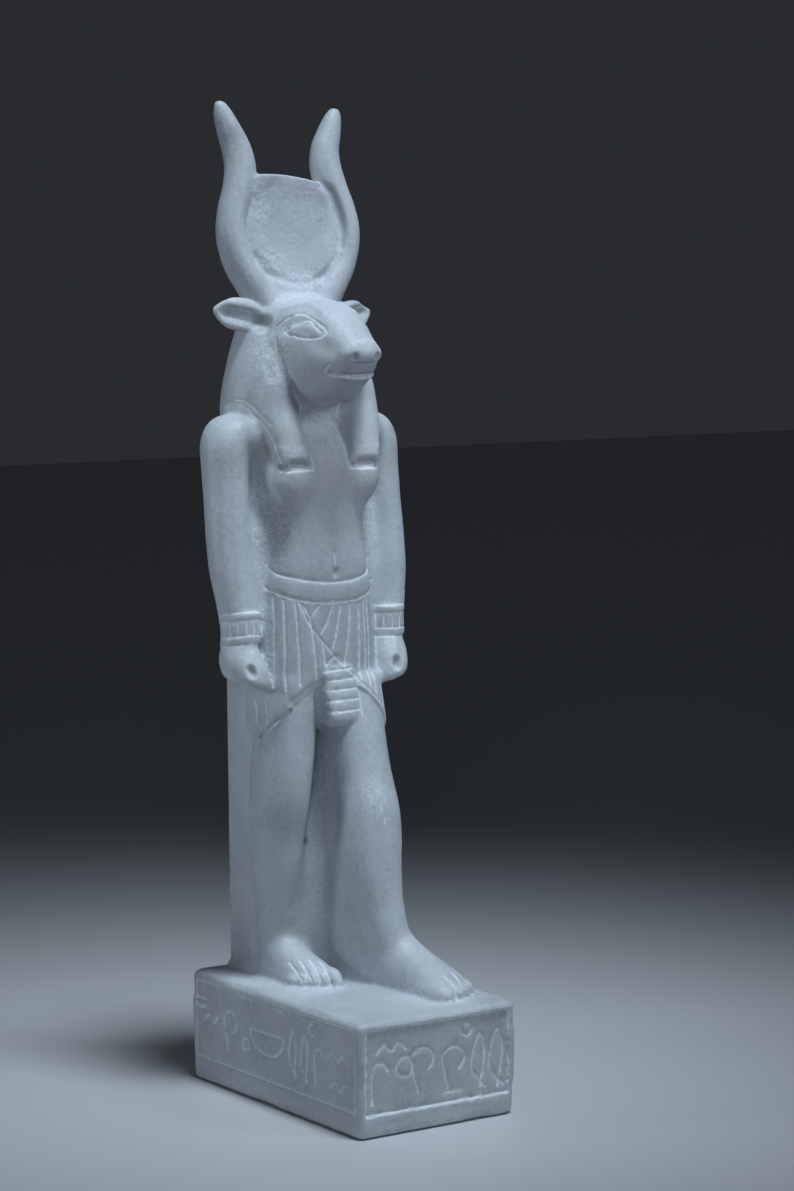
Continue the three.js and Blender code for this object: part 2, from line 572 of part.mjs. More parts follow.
const EAR = rows(['x', 'y', 'z', 'w', 'd'], [
  [11, 25, 236.4, 2.8, 2.4],
  [15, 25.4, 236.6, 4.4, 2.6],
  [19, 26.2, 237.2, 5.1, 2.6],
  [23, 27, 237.8, 4.7, 2.2],
  [26, 27.6, 238.4, 3, 1.6],
  [28.2, 28, 238.9, 0.9, 0.6],
]);

const EAR_HOLLOW = { x: 20.4, y: 23.4, z: 236.8, long: 6, deep: 2.4, high: 3.2, rise: 8, turn: 12 };
const EAR_LIFT = { right: 0.4, left: -1 };

// The left ear sits a little lower than the right.
function ear(side) {
  const hollow = ball(0, 0, 0, EAR_HOLLOW.long, EAR_HOLLOW.deep, EAR_HOLLOW.high)
    .rotate([0, -EAR_HOLLOW.rise * side, EAR_HOLLOW.turn * side])
    .translate([side * EAR_HOLLOW.x, EAR_HOLLOW.y, EAR_HOLLOW.z]);
  const made = horn(side < 0 ? mirrored(EAR) : EAR, SIDES.small).subtract(hollow);
  return made.translate([0, 0, side < 0 ? EAR_LIFT.right : EAR_LIFT.left]);
}

// The disc's own top edge between the horns, seen from the front as [x, z]: it is higher and flatter than a
// circle.
const DISC_TOP = {
  line: [
    [-15, 258], [-14.6, 275], [-13, 279], [-10, 279.9], [-5, 279.9], [0, 279.4], [6, 278.5], [11, 277.3],
    [14, 275], [15, 258],
  ],
  front: 28, back: 33.6,
};

function disc() {
  const { radius, thick, y, z, lean } = DISC;
  const wheel = new THREE.CylinderGeometry(radius, radius, 2 * thick, SIDES.disc).rotateX(-lean)
    .translate(0, y, z);
  const shape = new THREE.Shape(DISC_TOP.line.map(([u, v]) => new THREE.Vector2(u, v)));
  const { front, back } = DISC_TOP;
  const top = new THREE.ExtrudeGeometry(shape, { depth: back - front, bevelEnabled: false })
    .rotateX(Math.PI / 2).translate(0, back, 0);
  return union(solid(wheel), solid(top));
}

// The stone that joins the horns, the disc and the top of the head.
const CROWN_FOOT = rows(LEG_FIELDS, [
  [0, 28.6, 236, 13, 6.6, 6, 2.4],
  [0, 28.8, 242, 13.6, 5.6, 5.4, 2.4],
  [0, 29.6, 251, 12, 3.4, 4, 2.4],
]);

function statue() {
  const { x, y, z, w, deep, high } = BREAST;
  const pairs = [-1, 1].flatMap((side) => [
    arm(side), ear(side), ball(side * x, y, z, w, deep, high),
    stack(side < 0 ? mirrored(LAPPET) : LAPPET, SIDES.small),
  ]);
  const soft = [[TRUNK, SIDES.body], [SHOULDERS, SIDES.body], [WIG, SIDES.body], [RIGHT_LEG, SIDES.limb],
    [LEFT_LEG, SIDES.limb], [LEG_WEB, SIDES.small], [VALLEY, SIDES.small], [SLAB, SIDES.small],
    [NECK, SIDES.small], [CROWN_FOOT, SIDES.small]].map(([stations, sides]) => stack(stations, sides));
  return union(
    plinth(), pillar(), ...soft, foot(-1, RIGHT_FOOT_PLACE.x, RIGHT_FOOT_PLACE.heel, RIGHT_FOOT, RIGHT_TOES),
    foot(1, LEFT_FOOT_PLACE.x, LEFT_FOOT_PLACE.heel, LEFT_FOOT, LEFT_TOES), kilt(), tab(), head(), disc(),
    hornPair(), ...pairs,
  ).subtract(ball(0, NAVEL.y, NAVEL.z, NAVEL.w, NAVEL.deep, NAVEL.high, SIDES.tiny));
}

// A manifold-3d solid as a three.js geometry.
function geometryOf(made) {
  const { vertProperties, triVerts, numProp } = made.getMesh();
  const position = new Float32Array((vertProperties.length / numProp) * 3);
  for (let i = 0; i < position.length / 3; i++) {
    position.set(vertProperties.subarray(i * numProp, i * numProp + 3), i * 3);
  }
  return new THREE.BufferGeometry()
    .setAttribute('position', new THREE.BufferAttribute(position, 3))
    .setIndex(new THREE.BufferAttribute(triVerts, 1));
}

const group = new THREE.Group();
const carving = new THREE.Mesh(geometryOf(statue()), new THREE.MeshStandardMaterial(STONE));
carving.name = 'statue';
group.add(carving);

export default group;
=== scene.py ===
# %% [markdown]
# # A cow-headed goddess, carved from one block of white stone
#
# The statue is one piece of pale alabaster: an oblong plinth, a pillar at the back, and a striding figure
# with a cow's head, horns and a disc. A carver starts from a block, rounds the large forms, lets them run
# into each other, and only then cuts the lines. This file works in the same order.
#
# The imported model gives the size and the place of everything. It is loaded first and stays as it is.

import bpy
import numpy as np
from mathutils import Matrix, Vector


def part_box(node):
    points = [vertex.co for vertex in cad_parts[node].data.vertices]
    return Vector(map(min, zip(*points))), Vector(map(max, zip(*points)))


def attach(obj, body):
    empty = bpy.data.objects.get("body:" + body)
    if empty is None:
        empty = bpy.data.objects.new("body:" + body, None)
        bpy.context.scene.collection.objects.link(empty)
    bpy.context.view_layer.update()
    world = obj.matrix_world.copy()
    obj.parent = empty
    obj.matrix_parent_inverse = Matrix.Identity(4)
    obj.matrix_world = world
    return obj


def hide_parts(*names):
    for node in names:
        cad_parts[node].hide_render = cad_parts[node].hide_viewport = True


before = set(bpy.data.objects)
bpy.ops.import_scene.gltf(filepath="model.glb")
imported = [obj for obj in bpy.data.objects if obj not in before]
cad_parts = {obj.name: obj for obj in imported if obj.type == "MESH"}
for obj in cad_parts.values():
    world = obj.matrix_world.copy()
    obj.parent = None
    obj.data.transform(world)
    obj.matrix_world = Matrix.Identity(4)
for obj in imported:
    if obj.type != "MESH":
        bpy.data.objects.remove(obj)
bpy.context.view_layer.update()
low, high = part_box("statue")
MM = 0.001
size_mm = [round((b - a) / MM, 1) for a, b in zip(low, high)]
print("statue in the frame, mm:", size_mm)

# %% [markdown]
# ## Forms from rings
#
# A limb, a trunk or a horn is a tube whose outline changes on the way. By hand one adds a circle, extrudes
# it, scales and moves the new ring, and goes on. The function below does just that. A station says where a
# ring's centre is, how wide it is, and how far it reaches to the front and to the back. Between the
# stations the numbers run in smooth curves, so that a few stations give a form without facets.

# %% Rings between the stations
def between(stations, steps=4):
    """Rows of numbers on a smooth curve through the stations, with `steps` rows from each to the next."""
    rows = np.array(stations, float)
    padded = np.vstack([rows[:1], rows, rows[-1:]])
    found = []
    for a, b, c, d in zip(padded, padded[1:], padded[2:], padded[3:]):
        slope, bend, twist = c - a, 2 * a - 5 * b + 4 * c - d, 3 * b - a - 3 * c + d
        for t in np.arange(steps) / steps:
            found.append(0.5 * (2 * b + slope * t + bend * t**2 + twist * t**3))
    return np.array([*found, rows[-1]])


def outline(w, near, far, squareness, sides):
    """A ring's points: w to each side, near to the front, far to the back. Squareness 2 is an ellipse."""
    angle = np.linspace(0, 2 * np.pi, sides, endpoint=False)
    c, s = np.cos(angle), np.sin(angle)
    power = 2 / squareness
    return (
        w * np.sign(c) * np.abs(c) ** power,
        np.where(s < 0, near, far) * np.sign(s) * np.abs(s) ** power,
    )


# %% A circle, extruded ring by ring
def built_up(name, rings):
    """A closed form through the rings. Each ring holds the same number of points, in mm."""
    rings = np.array(rings, float)
    count, sides = rings.shape[:2]
    bpy.ops.object.select_all(action="DESELECT")
    bpy.ops.mesh.primitive_circle_add(vertices=sides, radius=1, fill_type="NOTHING")
    form = bpy.context.object
    form.name = name
    bpy.ops.object.mode_set(mode="EDIT")
    bpy.ops.mesh.select_all(action="SELECT")
    for _ in range(count - 1):
        bpy.ops.mesh.extrude_region_move(TRANSFORM_OT_translate={"value": (0, 0, 1)})
    bpy.ops.object.mode_set(mode="OBJECT")
    # Each point knows its ring by its height and its spoke by its angle, and takes its place from them.
    start = coordinates(form)
    ring = np.rint(start[:, 2]).astype(int)
    spoke = np.rint(np.arctan2(start[:, 1], start[:, 0]) / (2 * np.pi) * sides).astype(int) % sides
    form.data.vertices.foreach_set("co", (rings[ring, spoke] * MM).ravel())
    bpy.ops.object.mode_set(mode="EDIT")
    bpy.ops.mesh.select_all(action="SELECT")
    bpy.ops.mesh.fill_holes(sides=0)
    bpy.ops.mesh.select_all(action="SELECT")
    bpy.ops.mesh.normals_make_consistent(inside=False)
    bpy.ops.object.mode_set(mode="OBJECT")
    return form


def coordinates(piece):
    """The points of a piece as rows of x, y, z."""
    flat = np.empty(len(piece.data.vertices) * 3)
    piece.data.vertices.foreach_get("co", flat)
    return flat.reshape(-1, 3)


# %% Upright, forward and bent forms
def upright(name, stations, sides=40, steps=4, rise=0, hinge=0):
    """Level rings stacked upwards. A station is x, y, z, w, near, far, squareness. With a rise, the rings
    climb backwards by that much for each mm behind the hinge."""
    rings = []
    for x, y, z, w, near, far, squareness in between(stations, steps):
        u, v = outline(w, near, far, squareness, sides)
        rings.append(np.stack([x + u, y + v, z + rise * (y + v - hinge)], 1))
    return built_up(name, rings)


def forward(name, stations, sides=40, steps=4):
    """Upright rings one behind the other, from back to front. Near is the reach down and far the reach up."""
    rings = []
    for x, y, z, w, near, far, squareness in between(stations, steps):
        u, v = outline(w, near, far, squareness, sides)
        rings.append(np.stack([x + u, np.full(sides, y), z + v], 1))
    return built_up(name, rings)


def bent(name, stations, sides=28, steps=4):
    """Rings that turn to follow their own line, as on a horn. A station is x, y, z, half width and depth."""
    rows = between(stations, steps)
    ways = np.gradient(rows[:, :3], axis=0)
    rings = []
    for (x, y, z, w, d), way in zip(rows, ways):
        way = way / np.linalg.norm(way)
        across = np.cross((0, 1, 0), way)
        across /= np.linalg.norm(across)
        along = np.cross(way, across)
        u, v = outline(w, d, d, 2, sides)
        rings.append(np.array([x, y, z]) + np.outer(u, across) + np.outer(v, along))
    return built_up(name, rings)


# %% Bulges and mirror images
def ball(name, centre, radii):
    """A sphere drawn out to three half sizes, for a bulge that is fused into a larger form."""
    bpy.ops.object.select_all(action="DESELECT")
    bpy.ops.mesh.primitive_uv_sphere_add(segments=32, ring_count=20, radius=1)
    form = bpy.context.object
    form.name = name
    bpy.ops.transform.resize(value=[r * MM for r in radii])
    bpy.ops.transform.translate(value=[c * MM for c in centre])
    bpy.ops.object.transform_apply(location=True, rotation=True, scale=True)
    return form


def other_side(stations):
    """The same stations with x turned over."""
    return [(-x, *rest) for x, *rest in stations]


def upright_pair(name, stations):
    """An upright form on the figure's right side and the same one on the left."""
    return [upright(name, other_side(stations)), upright(name, stations)]


def ball_pair(name, centre, radii):
    """A bulge on the figure's right side and the same one on the left."""
    x, y, z = centre
    return [ball(name, (side * x, y, z), radii) for side in (-1, 1)]


# %% Fusing forms
def pick(*pieces):
    """Selects these pieces alone. The first one is the active one."""
    bpy.ops.object.select_all(action="DESELECT")
    for piece in pieces:
        piece.select_set(True)
    bpy.context.view_layer.objects.active = pieces[0]


def fused(name, forms, voxel, rounds):
    """The forms as one skin: joined, wrapped anew in even faces of `voxel` mm, and evened out in rounds."""
    pick(*forms)
    bpy.ops.object.join()
    piece = bpy.context.object
    piece.name = name
    wrap = piece.modifiers.new("wrap", "REMESH")
    wrap.mode = "VOXEL"
    wrap.voxel_size = voxel * MM
    bpy.ops.object.modifier_apply(modifier=wrap.name)
    even = piece.modifiers.new("even", "SMOOTH")
    even.factor = 0.5
    even.iterations = rounds
    bpy.ops.object.modifier_apply(modifier=even.name)
    print(name, "faces:", len(piece.data.polygons))
    return piece


# %% [markdown]
# ## Legs and feet
#
# The goddess strides with her left foot. Her legs are smooth columns, and the stone between them was never
# cut through: it stays as a web that runs back into the pillar. The legs, the web and the feet are soft
# forms that flow into each other, so they are fused with large faces and evened out well.

# %% Stations of the legs and of the stone between them
# Each row is a level ring, from the ankle up: x, y, z, half width, reach to the front, reach to the back
# and squareness. The same seven numbers state all other upright forms.
RIGHT_LEG = [
    (-9.6, 26, 30, 6.4, 7, 7.2, 2.2), (-9.6, 26, 44, 5.6, 6.2, 6.6, 2.2),
    (-9.9, 25.4, 53, 6, 7.2, 7.5, 2.2), (-10.4, 24.4, 62, 6.6, 8.2, 8.6, 2.2),
    (-11.1, 23.2, 70, 7.2, 9, 9.4, 2.2), (-11.6, 21.8, 79, 7.5, 9.4, 10, 2.2),
    (-11.8, 20.4, 89, 8.2, 11, 11, 2.2), (-11.3, 19.6, 99, 8.4, 11.4, 11.4, 2.2),
    (-10.6, 19.2, 109, 8.5, 11.2, 11, 2.3), (-9.6, 19, 128, 9.3, 11, 11, 2.4),
]
LEFT_LEG = [
    (11.2, -7, 30, 7, 7.8, 8.4, 2.2), (11.1, -6.4, 44, 6.2, 6.8, 7.4, 2.2),
    (10.4, -4.4, 52, 6.5, 7.4, 8, 2.2), (9.8, -2.4, 59, 6.8, 7.6, 8.4, 2.2),
    (9.5, -0.6, 66, 7.6, 8.4, 9.4, 2.2), (9.6, 1.2, 73, 8.5, 9.2, 10, 2.2),
    (9.9, 2.8, 80, 9.1, 10.2, 10.4, 2.2), (9.9, 5, 89, 9.2, 11, 11, 2.2),
    (9.6, 7.8, 98, 9, 10.6, 11.4, 2.2), (9.3, 10.8, 107, 9.4, 10.8, 11.6, 2.3),
    (9.3, 13.6, 116, 10, 11, 12, 2.3), (9.4, 17, 128, 10, 11, 12, 2.4),
]
LEG_WEB = [
    (9.3, 18, 30, 7, 24.8, 16, 2.7), (9.1, 18, 44, 6.9, 22.8, 16, 2.7), (8.6, 19, 60, 7.3, 20, 16, 2.7),
    (8, 20, 76, 7.8, 18.2, 16, 2.8), (7.9, 21, 90, 7.6, 16.4, 16, 3.2), (7.7, 22, 118, 7.4, 13, 14, 4),
]
VALLEY = [
    (-2, 30, 30, 9, 13.4, 8, 4), (-2, 30, 60, 9, 13.4, 8, 4), (-2, 30, 72, 9, 13, 8, 4),
    (-2, 30, 80, 9, 12.2, 8, 4), (-2, 30, 88, 9, 11.2, 8, 4), (-2, 30, 96, 9, 10.2, 8, 4),
    (-2, 30, 104, 9, 9.2, 8, 4), (-2, 30, 122, 9, 8.4, 8, 4),
]

# %% Feet and toes
PLINTH_TOP = 34.6
# Where a foot stands: its side of the figure, how far out its middle is, and the y of its heel.
RIGHT_STAND = (-1, 9.6, 33)
LEFT_STAND = (1, 12.6, 2.6)
FOOT_SUNK = 4
TOE_LIFT = 1.4
# A foot's stations run from the heel to the toes: distance from the heel, inner and outer edge, height.
RIGHT_FOOT = [
    (0.4, 3, 3, 5), (2.5, 5, 5, 11), (8, 6, 6.6, 15), (13, 6.6, 7, 12.8), (19, 7.4, 7.4, 10),
    (24.4, 7.8, 7, 8), (28, 7.6, 4.8, 6.6), (31, 6.8, 2, 5),
]
LEFT_FOOT = [
    (0.4, 4, 4, 6), (3, 6.4, 6, 12), (9, 7.8, 7.4, 18), (15, 7.6, 8.4, 14.6), (21, 7, 9.8, 11.2),
    (30, 6.4, 10.6, 8), (35, 6.1, 9, 6.2), (38.6, 5.6, 5.4, 4.8), (41, 4.8, 1.4, 3.6),
]
# A toe: how far inwards from the foot's middle, distance from the heel, half width, half length, height.
RIGHT_TOES = [
    (4.6, 30.2, 3, 4.8, 5.2), (1, 29.2, 2.2, 4.4, 4.8), (-1.6, 28, 2.1, 4.2, 4.5), (-4, 26.2, 1.9, 4, 4.1),
    (-6, 24, 1.6, 3.6, 3.6),
]
LEFT_TOES = [
    (2.8, 37.6, 3.6, 4.8, 4.8), (-2.1, 36.8, 2.3, 4.6, 4.6), (-5.3, 35.4, 2.2, 4.4, 4.4),
    (-8.2, 33.4, 2, 4.2, 4.1), (-10.3, 30.8, 1.7, 3.8, 3.6),
]


def foot(name, stand, table):
    side, middle, heel = stand
    stations = []
    for run, inner, outer, up in table:
        across = side * (middle + (outer - inner) / 2)
        stations.append((across, heel - run, PLINTH_TOP, (inner + outer) / 2, FOOT_SUNK, up, 2.3))
    return forward(name, stations)


def toes(stand, table):
    side, middle, heel = stand
    made = []
    for inwards, run, w, long, up in table:
        place = (side * (middle - inwards), heel - run, PLINTH_TOP + TOE_LIFT)
        made.append(ball("toe", place, (w, long, up - TOE_LIFT)))
    return made


legs = [
    upright("right leg", RIGHT_LEG),
    upright("left leg", LEFT_LEG),
    upright("leg web", LEG_WEB),
    upright("valley floor", VALLEY),
    foot("right foot", RIGHT_STAND, RIGHT_FOOT),
    foot("left foot", LEFT_STAND, LEFT_FOOT),
]
toe_forms = toes(RIGHT_STAND, RIGHT_TOES) + toes(LEFT_STAND, LEFT_TOES)
print("leg forms:", len(legs), "toes:", len(toe_forms))

# %% [markdown]
# ## Trunk, arms and fists
#
# The trunk narrows at the waist and the breasts are low domes. The arms hang straight down and are joined
# to the trunk by stone left standing behind them. A fist is a plain wedge: its underside is one flat cut
# that drops to the front, made here with a bisect.

# %% Trunk, breasts and neck
TRUNK = [
    (0, 19, 140, 17.4, 12, 14, 2.2), (0, 19, 152, 17.8, 13, 14, 2.2), (0, 19, 158, 17.8, 14.4, 14.5, 2.2),
    (0, 19, 163, 17.2, 14.3, 14.5, 2.2), (0, 19, 168, 16.4, 13.4, 14.5, 2.2),
    (0, 19, 174, 16.4, 12.4, 14.5, 2.25), (0, 19.4, 181, 18, 12, 15, 2.35),
    (0, 20, 188, 20, 12.4, 15.5, 2.4), (0, 21, 196, 21.5, 12, 15, 2.5), (0, 23, 203, 20.5, 9.6, 13, 2.4),
    (0, 25, 208, 13, 6.4, 10, 2.2),
]
SHOULDERS = [
    (0, 23, 188, 20, 8, 8, 2.4), (0, 23, 195, 23.5, 9.4, 9, 2.6), (0, 24, 201, 26, 9.8, 9, 2.8),
    (0, 24.6, 205, 25, 8.2, 8.4, 2.8), (0, 25, 208.4, 21, 5, 6, 2.6),
]
NECK = [(0, 22, 200, 9, 9, 9, 2), (0, 22, 218, 9, 9, 9, 2)]
BREAST = {"centre": (11.4, 12.2, 188.6), "radii": (8.8, 7.2, 9.8)}
SHOULDER_FRONT = {"centre": (20.4, 18.6, 201.5), "radii": (5.4, 5.6, 7)}
trunk_forms = [upright("trunk", TRUNK), upright("neck", NECK), upright("shoulders", SHOULDERS, sides=56)]
trunk_forms += ball_pair("breast", **BREAST) + ball_pair("shoulder front", **SHOULDER_FRONT)
trunk = fused("trunk", trunk_forms, voxel=1.2, rounds=26)

# %% Arms and fists
ARM = [
    (22, 25.6, 207.8, 4, 4, 4.5, 2), (24, 25.2, 205.4, 7, 7, 7.2, 2),
    (25.6, 24.8, 199.6, 8.2, 8.6, 8.8, 2.1), (26.8, 24.2, 191, 7.1, 8, 8.2, 2.1),
    (27.6, 22.8, 180, 6.5, 7.2, 7.6, 2.1), (28, 21.6, 170, 6.4, 6.9, 7.4, 2.1),
    (27.9, 20.2, 160, 6.4, 6.6, 6.8, 2.1), (27.1, 18.8, 150, 5.8, 6.1, 6.1, 2.1),
    (26.3, 18.2, 140, 5.4, 5.8, 5.8, 2.1),
]
FIST = [
    (26.3, 18.2, 141, 5, 5.4, 5.4, 2.1), (26.2, 18, 138, 5.4, 6, 6, 2.2), (25.9, 17.4, 134, 6.2, 8, 8, 2.3),
    (25.2, 16.6, 130, 6.1, 9, 8, 2.5), (24.4, 15.6, 125, 5.6, 8.6, 7.4, 2.5), (24, 15, 118, 5, 8, 7, 2.5),
]
# How far each fist is set outwards, and the flat cut under it: its front inner corner and its slope.
FIST_OUT = {-1: 0.5, 1: -0.6}
FIST_CUT = {"x": 21.3, "y": 9, "z": 124.5, "back": 0.08, "out": 0.33}


def cut_flat(form, point, normal):
    """Cuts off what lies behind a plane and closes the cut."""
    pick(form)
    bpy.ops.object.mode_set(mode="EDIT")
    bpy.ops.mesh.select_all(action="SELECT")
    bpy.ops.mesh.bisect(plane_co=[p * MM for p in point], plane_no=normal, use_fill=True, clear_inner=True)
    bpy.ops.object.mode_set(mode="OBJECT")
    return form


arms = []
for side in (-1, 1):
    turned = other_side if side < 0 else list
    arms.append(upright("arm", turned(ARM)))
    fist = upright("fist", [(x + side * FIST_OUT[side], *rest) for x, *rest in turned(FIST)])
    corner = (side * FIST_CUT["x"], FIST_CUT["y"], FIST_CUT["z"])
    arms.append(cut_flat(fist, corner, (-side * FIST_CUT["out"], -FIST_CUT["back"], 1)))
print("arm forms:", len(arms))

# %% The back slab, the pillar and the stone beside the waist
SLAB = [
    (0, 27.5, 122, 19.6, 5, 8, 5), (0, 27.5, 130, 20.4, 5.5, 8, 5),
    (0, 27.5, 196, 20.4, 5.5, 8, 5), (0, 27.5, 202, 19, 5, 7, 5),
]
PILLAR = [
    (0, 37.7, 30, 17.4, 9.3, 9.3, 9), (0, 38, 36, 15.8, 8.6, 8.8, 9), (0, 38.5, 40, 15, 8.5, 8.5, 9),
    (0, 38.5, 120, 15, 8.5, 8.5, 9), (0, 38.5, 203, 15, 8.5, 8.5, 9), (0, 38.5, 206, 13.4, 7, 7, 7),
]
BESIDE_WAIST = [
    (20, 24, 140, 4.4, 9, 6, 4), (20, 24, 150, 4.4, 8.8, 6, 4), (19.6, 24, 160, 4.8, 8.4, 6, 4),
    (19.4, 24, 170, 5, 7.6, 6, 4), (19.8, 24, 180, 5, 6, 6, 4), (20.4, 24, 190, 4.6, 4.6, 6, 4),
    (20.6, 24, 197, 4, 4, 6, 4),
]
slab = upright("back slab", SLAB, steps=3)
beside_waist = upright_pair("beside waist", BESIDE_WAIST)
pillar = upright("pillar", PILLAR, sides=64, steps=3)
print("pillar, top in mm:", PILLAR[-1][2])

# %% The body as one soft form
body = fused("body", [*legs, trunk, *arms, slab, *beside_waist], voxel=1, rounds=14)

# %% [markdown]
# ## Kilt, belt and tab
#
# The kilt hugs the hips and its hem climbs from both sides to the middle. The hem was undercut with a thin
# chisel, so it keeps a crisp edge against the thighs: the kilt is its own form, and a boolean takes away
# what lies below the hem. The belt is a low band that climbs to the back.

# %% Kilt and belt
KILT = [
    (0, 21, 98, 19.8, 9, 15, 2.3), (0, 21, 110, 20, 10.5, 15.4, 2.3), (0, 20, 122, 20.3, 12.6, 16, 2.3),
    (0, 19, 130, 20.4, 13.2, 16, 2.35), (0, 19, 142, 20.1, 13.6, 16, 2.35), (0, 19, 152, 19, 13.8, 16, 2.3),
    (0, 19, 159, 18.2, 13.2, 15, 2.3),
]
HEM = [
    (-30, 90), (-23, 104.4), (-20.3, 108.6), (-16.5, 117), (-13.4, 120.3), (-8.5, 123.6), (-2, 126.4),
    (6, 125.4), (11, 122.6), (16.2, 116.6), (20.3, 109), (23, 104.4), (30, 90),
]
BELT = [
    (0, 19, 148.9, 18.2, 13.4, 14.6, 2.25), (0, 19, 150.2, 18.9, 13.9, 15, 2.25),
    (0, 19, 153.4, 18.6, 14.3, 15.2, 2.25), (0, 19, 156.2, 18, 14.3, 15, 2.25),
    (0, 19, 157.2, 17.2, 13.8, 14.6, 2.25),
]
BELT_RISE, BELT_HINGE = 0.35, 5
BELOW_HEM = 80
# How thick the cloth on the thighs is, and the level at which it starts.
CLOTH, CLOTH_LOWEST = 0.7, 89


def taken_away(form, cutter):
    """The form without what the cutter covers."""
    pick(form)
    cut = form.modifiers.new("cut", "BOOLEAN")
    cut.operation = "DIFFERENCE"
    cut.solver = "EXACT"
    cut.object = cutter
    bpy.ops.object.modifier_apply(modifier=cut.name)
    bpy.data.objects.remove(cutter)
    return form


def through(name, line, floor, front=-10, back=60):
    """A solid from the front to the back, between a line of x, z points and a level below it."""
    loop = [*line, (line[-1][0], floor), (line[0][0], floor)]
    return built_up(name, [[(x, y, z) for x, z in loop] for y in (front, back)])


def clad(name, stations):
    """A sleeve of cloth that clings to a limb: the limb's own upper stations, thicker by the cloth."""
    rings = []
    for x, y, z, w, near, far, squareness in stations:
        if z >= CLOTH_LOWEST:
            rings.append((x, y, z, w + CLOTH, near + CLOTH, far + CLOTH, squareness))
    return upright(name, rings)


kilt_forms = [
    upright("kilt", KILT, sides=64), clad("right thigh cloth", RIGHT_LEG), clad("left thigh cloth", LEFT_LEG),
]
kilt = fused("kilt", kilt_forms, voxel=1, rounds=10)
taken_away(kilt, through("below the hem", HEM, BELOW_HEM))
belt = upright("belt", BELT, sides=64, rise=BELT_RISE, hinge=BELT_HINGE)
print("kilt faces after the cut:", len(kilt.data.polygons))

# %% [markdown]
# ## The tab
#
# A small stiff tab hangs from under the wrap-over. It leans outwards to the thigh in front, widens towards
# its lower end, and its bottom is a rounded cushion.

# %% Tab
TAB = [
    (0.2, 9, 132.4, 4.8, 3, 6, 5), (0.8, 9, 130.6, 5.8, 3.9, 6, 5), (1.2, 9, 127, 6.1, 4.5, 6, 5),
    (1.8, 9, 121, 6.1, 5.5, 6, 5), (2.1, 9, 117, 6.1, 6.3, 6, 4.6), (2.1, 9, 114.8, 5.9, 6.3, 6, 4),
    (2.1, 9, 113.2, 5, 5.4, 6, 3.4), (2.1, 9, 112.4, 3.8, 4, 5, 3),
]
tab = upright("tab", TAB, sides=48)
print("tab points:", len(tab.data.vertices))

# %% Bracelets
WRIST = {"x": 26.3, "y": 18.2, "w": 5.5, "deep": 5.9}
# A bracelet's profile from its upper rim down: height, and how far it stands off the wrist.
BRACELET = [
    (147.7, 0), (147.4, 0.3), (145.6, 0.3), (145.3, 0.15), (140.9, 0.15), (140.6, 0.3), (138.6, 0.3),
    (138.3, 0),
]
BRACELET_TILT = {-1: -0.2, 1: 0}
bracelets = []
for side in (-1, 1):
    rings = []
    for z, proud in BRACELET:
        deep = WRIST["deep"] + proud
        rings.append((side * WRIST["x"], WRIST["y"], z, WRIST["w"] + proud, deep, deep, 2.1))
    bracelets.append(upright("bracelet", rings, rise=BRACELET_TILT[side], hinge=WRIST["y"]))
print("bracelets:", len(bracelets))

# %% [markdown]
# ## Head, ears and wig
#
# A cow's head: a broad forehead, full cheeks, and a muzzle that narrows to a rounded pad. The wig falls in
# one mass behind the ears and in two lappets on the chest.

# %% Head and ears
HEAD = [
    (0, 35, 228, 11, 9, 11, 2.2), (0, 33, 228, 12.4, 10.6, 12.4, 2.2), (0, 26, 227.5, 15, 15.6, 14.8, 2.3),
    (0, 18, 227, 15.6, 17.4, 15.6, 2.3), (0, 11, 226.6, 15, 16.8, 15.4, 2.3),
    (0, 5, 226, 13.2, 14.6, 14.2, 2.25), (0, 0, 225.2, 11, 11.8, 13.4, 2.2),
    (0, -4.5, 224.8, 8.7, 9, 10.7, 2.2), (0, -7.6, 225.2, 7.2, 7.3, 7.8, 2.3),
    (0, -9.8, 225.8, 6.4, 4.9, 5.4, 2.4), (0, -11.6, 226, 5.4, 3.3, 4.2, 2.4),
    (0, -12.7, 226.2, 3.6, 2, 2.4, 2.2),
]
EAR = [
    (11, 25, 236.4, 2.8, 2.4), (15, 25.4, 236.6, 4.4, 2.6), (19, 26.2, 237.2, 5.1, 2.6),
    (23, 27, 237.8, 4.7, 2.2), (26, 27.6, 238.4, 3, 1.6), (28.2, 28, 238.9, 0.9, 0.6),
]
EAR_LIFT = {-1: 0.4, 1: -1}
NOSE_PAD = {"centre": (0, -9.6, 226), "radii": (7.3, 4, 3.8)}

head = fused("head", [forward("head", HEAD, sides=56), ball("nose pad", **NOSE_PAD)], voxel=0.6, rounds=6)
ears = [bent("ear", [(side * x, y, z + EAR_LIFT[side], w, d) for x, y, z, w, d in EAR]) for side in (-1, 1)]

# %% Wig and lappets
WIG = [
    (0, 28, 198, 20, 12, 16, 2.4), (0, 28, 205, 23, 14, 17, 2.4), (0, 28, 212, 23.3, 15, 16.5, 2.4),
    (0, 28, 220, 22, 14.5, 15.5, 2.3), (0, 28, 228, 19.8, 13, 14.5, 2.3), (0, 28, 236, 17, 12, 13, 2.2),
    (0, 28, 241, 12.5, 9.5, 10.5, 2.2), (0, 28, 244, 7, 6, 7, 2.1),
]
LAPPET = [
    (12.1, 10, 191.6, 5, 4.2, 4.4, 4), (12.1, 10, 192.6, 5.3, 4.5, 5, 3.4), (13.1, 11.2, 198, 5.6, 5, 7, 3),
    (14.1, 14, 204, 6.2, 6.8, 12, 2.6), (14.6, 18, 211, 6.4, 9, 14, 2.4),
    (14.4, 19.6, 218, 5.8, 9.8, 14, 2.3), (13.8, 21.6, 225, 4.8, 9, 13, 2.2),
    (12.4, 24, 232, 4, 7, 10, 2.2), (11, 26, 238, 3, 4, 5, 2.2),
]
LAPPET_END = [*LAPPET[:3], (13.7, 13, 201, 5, 4.6, 8, 2.8)]
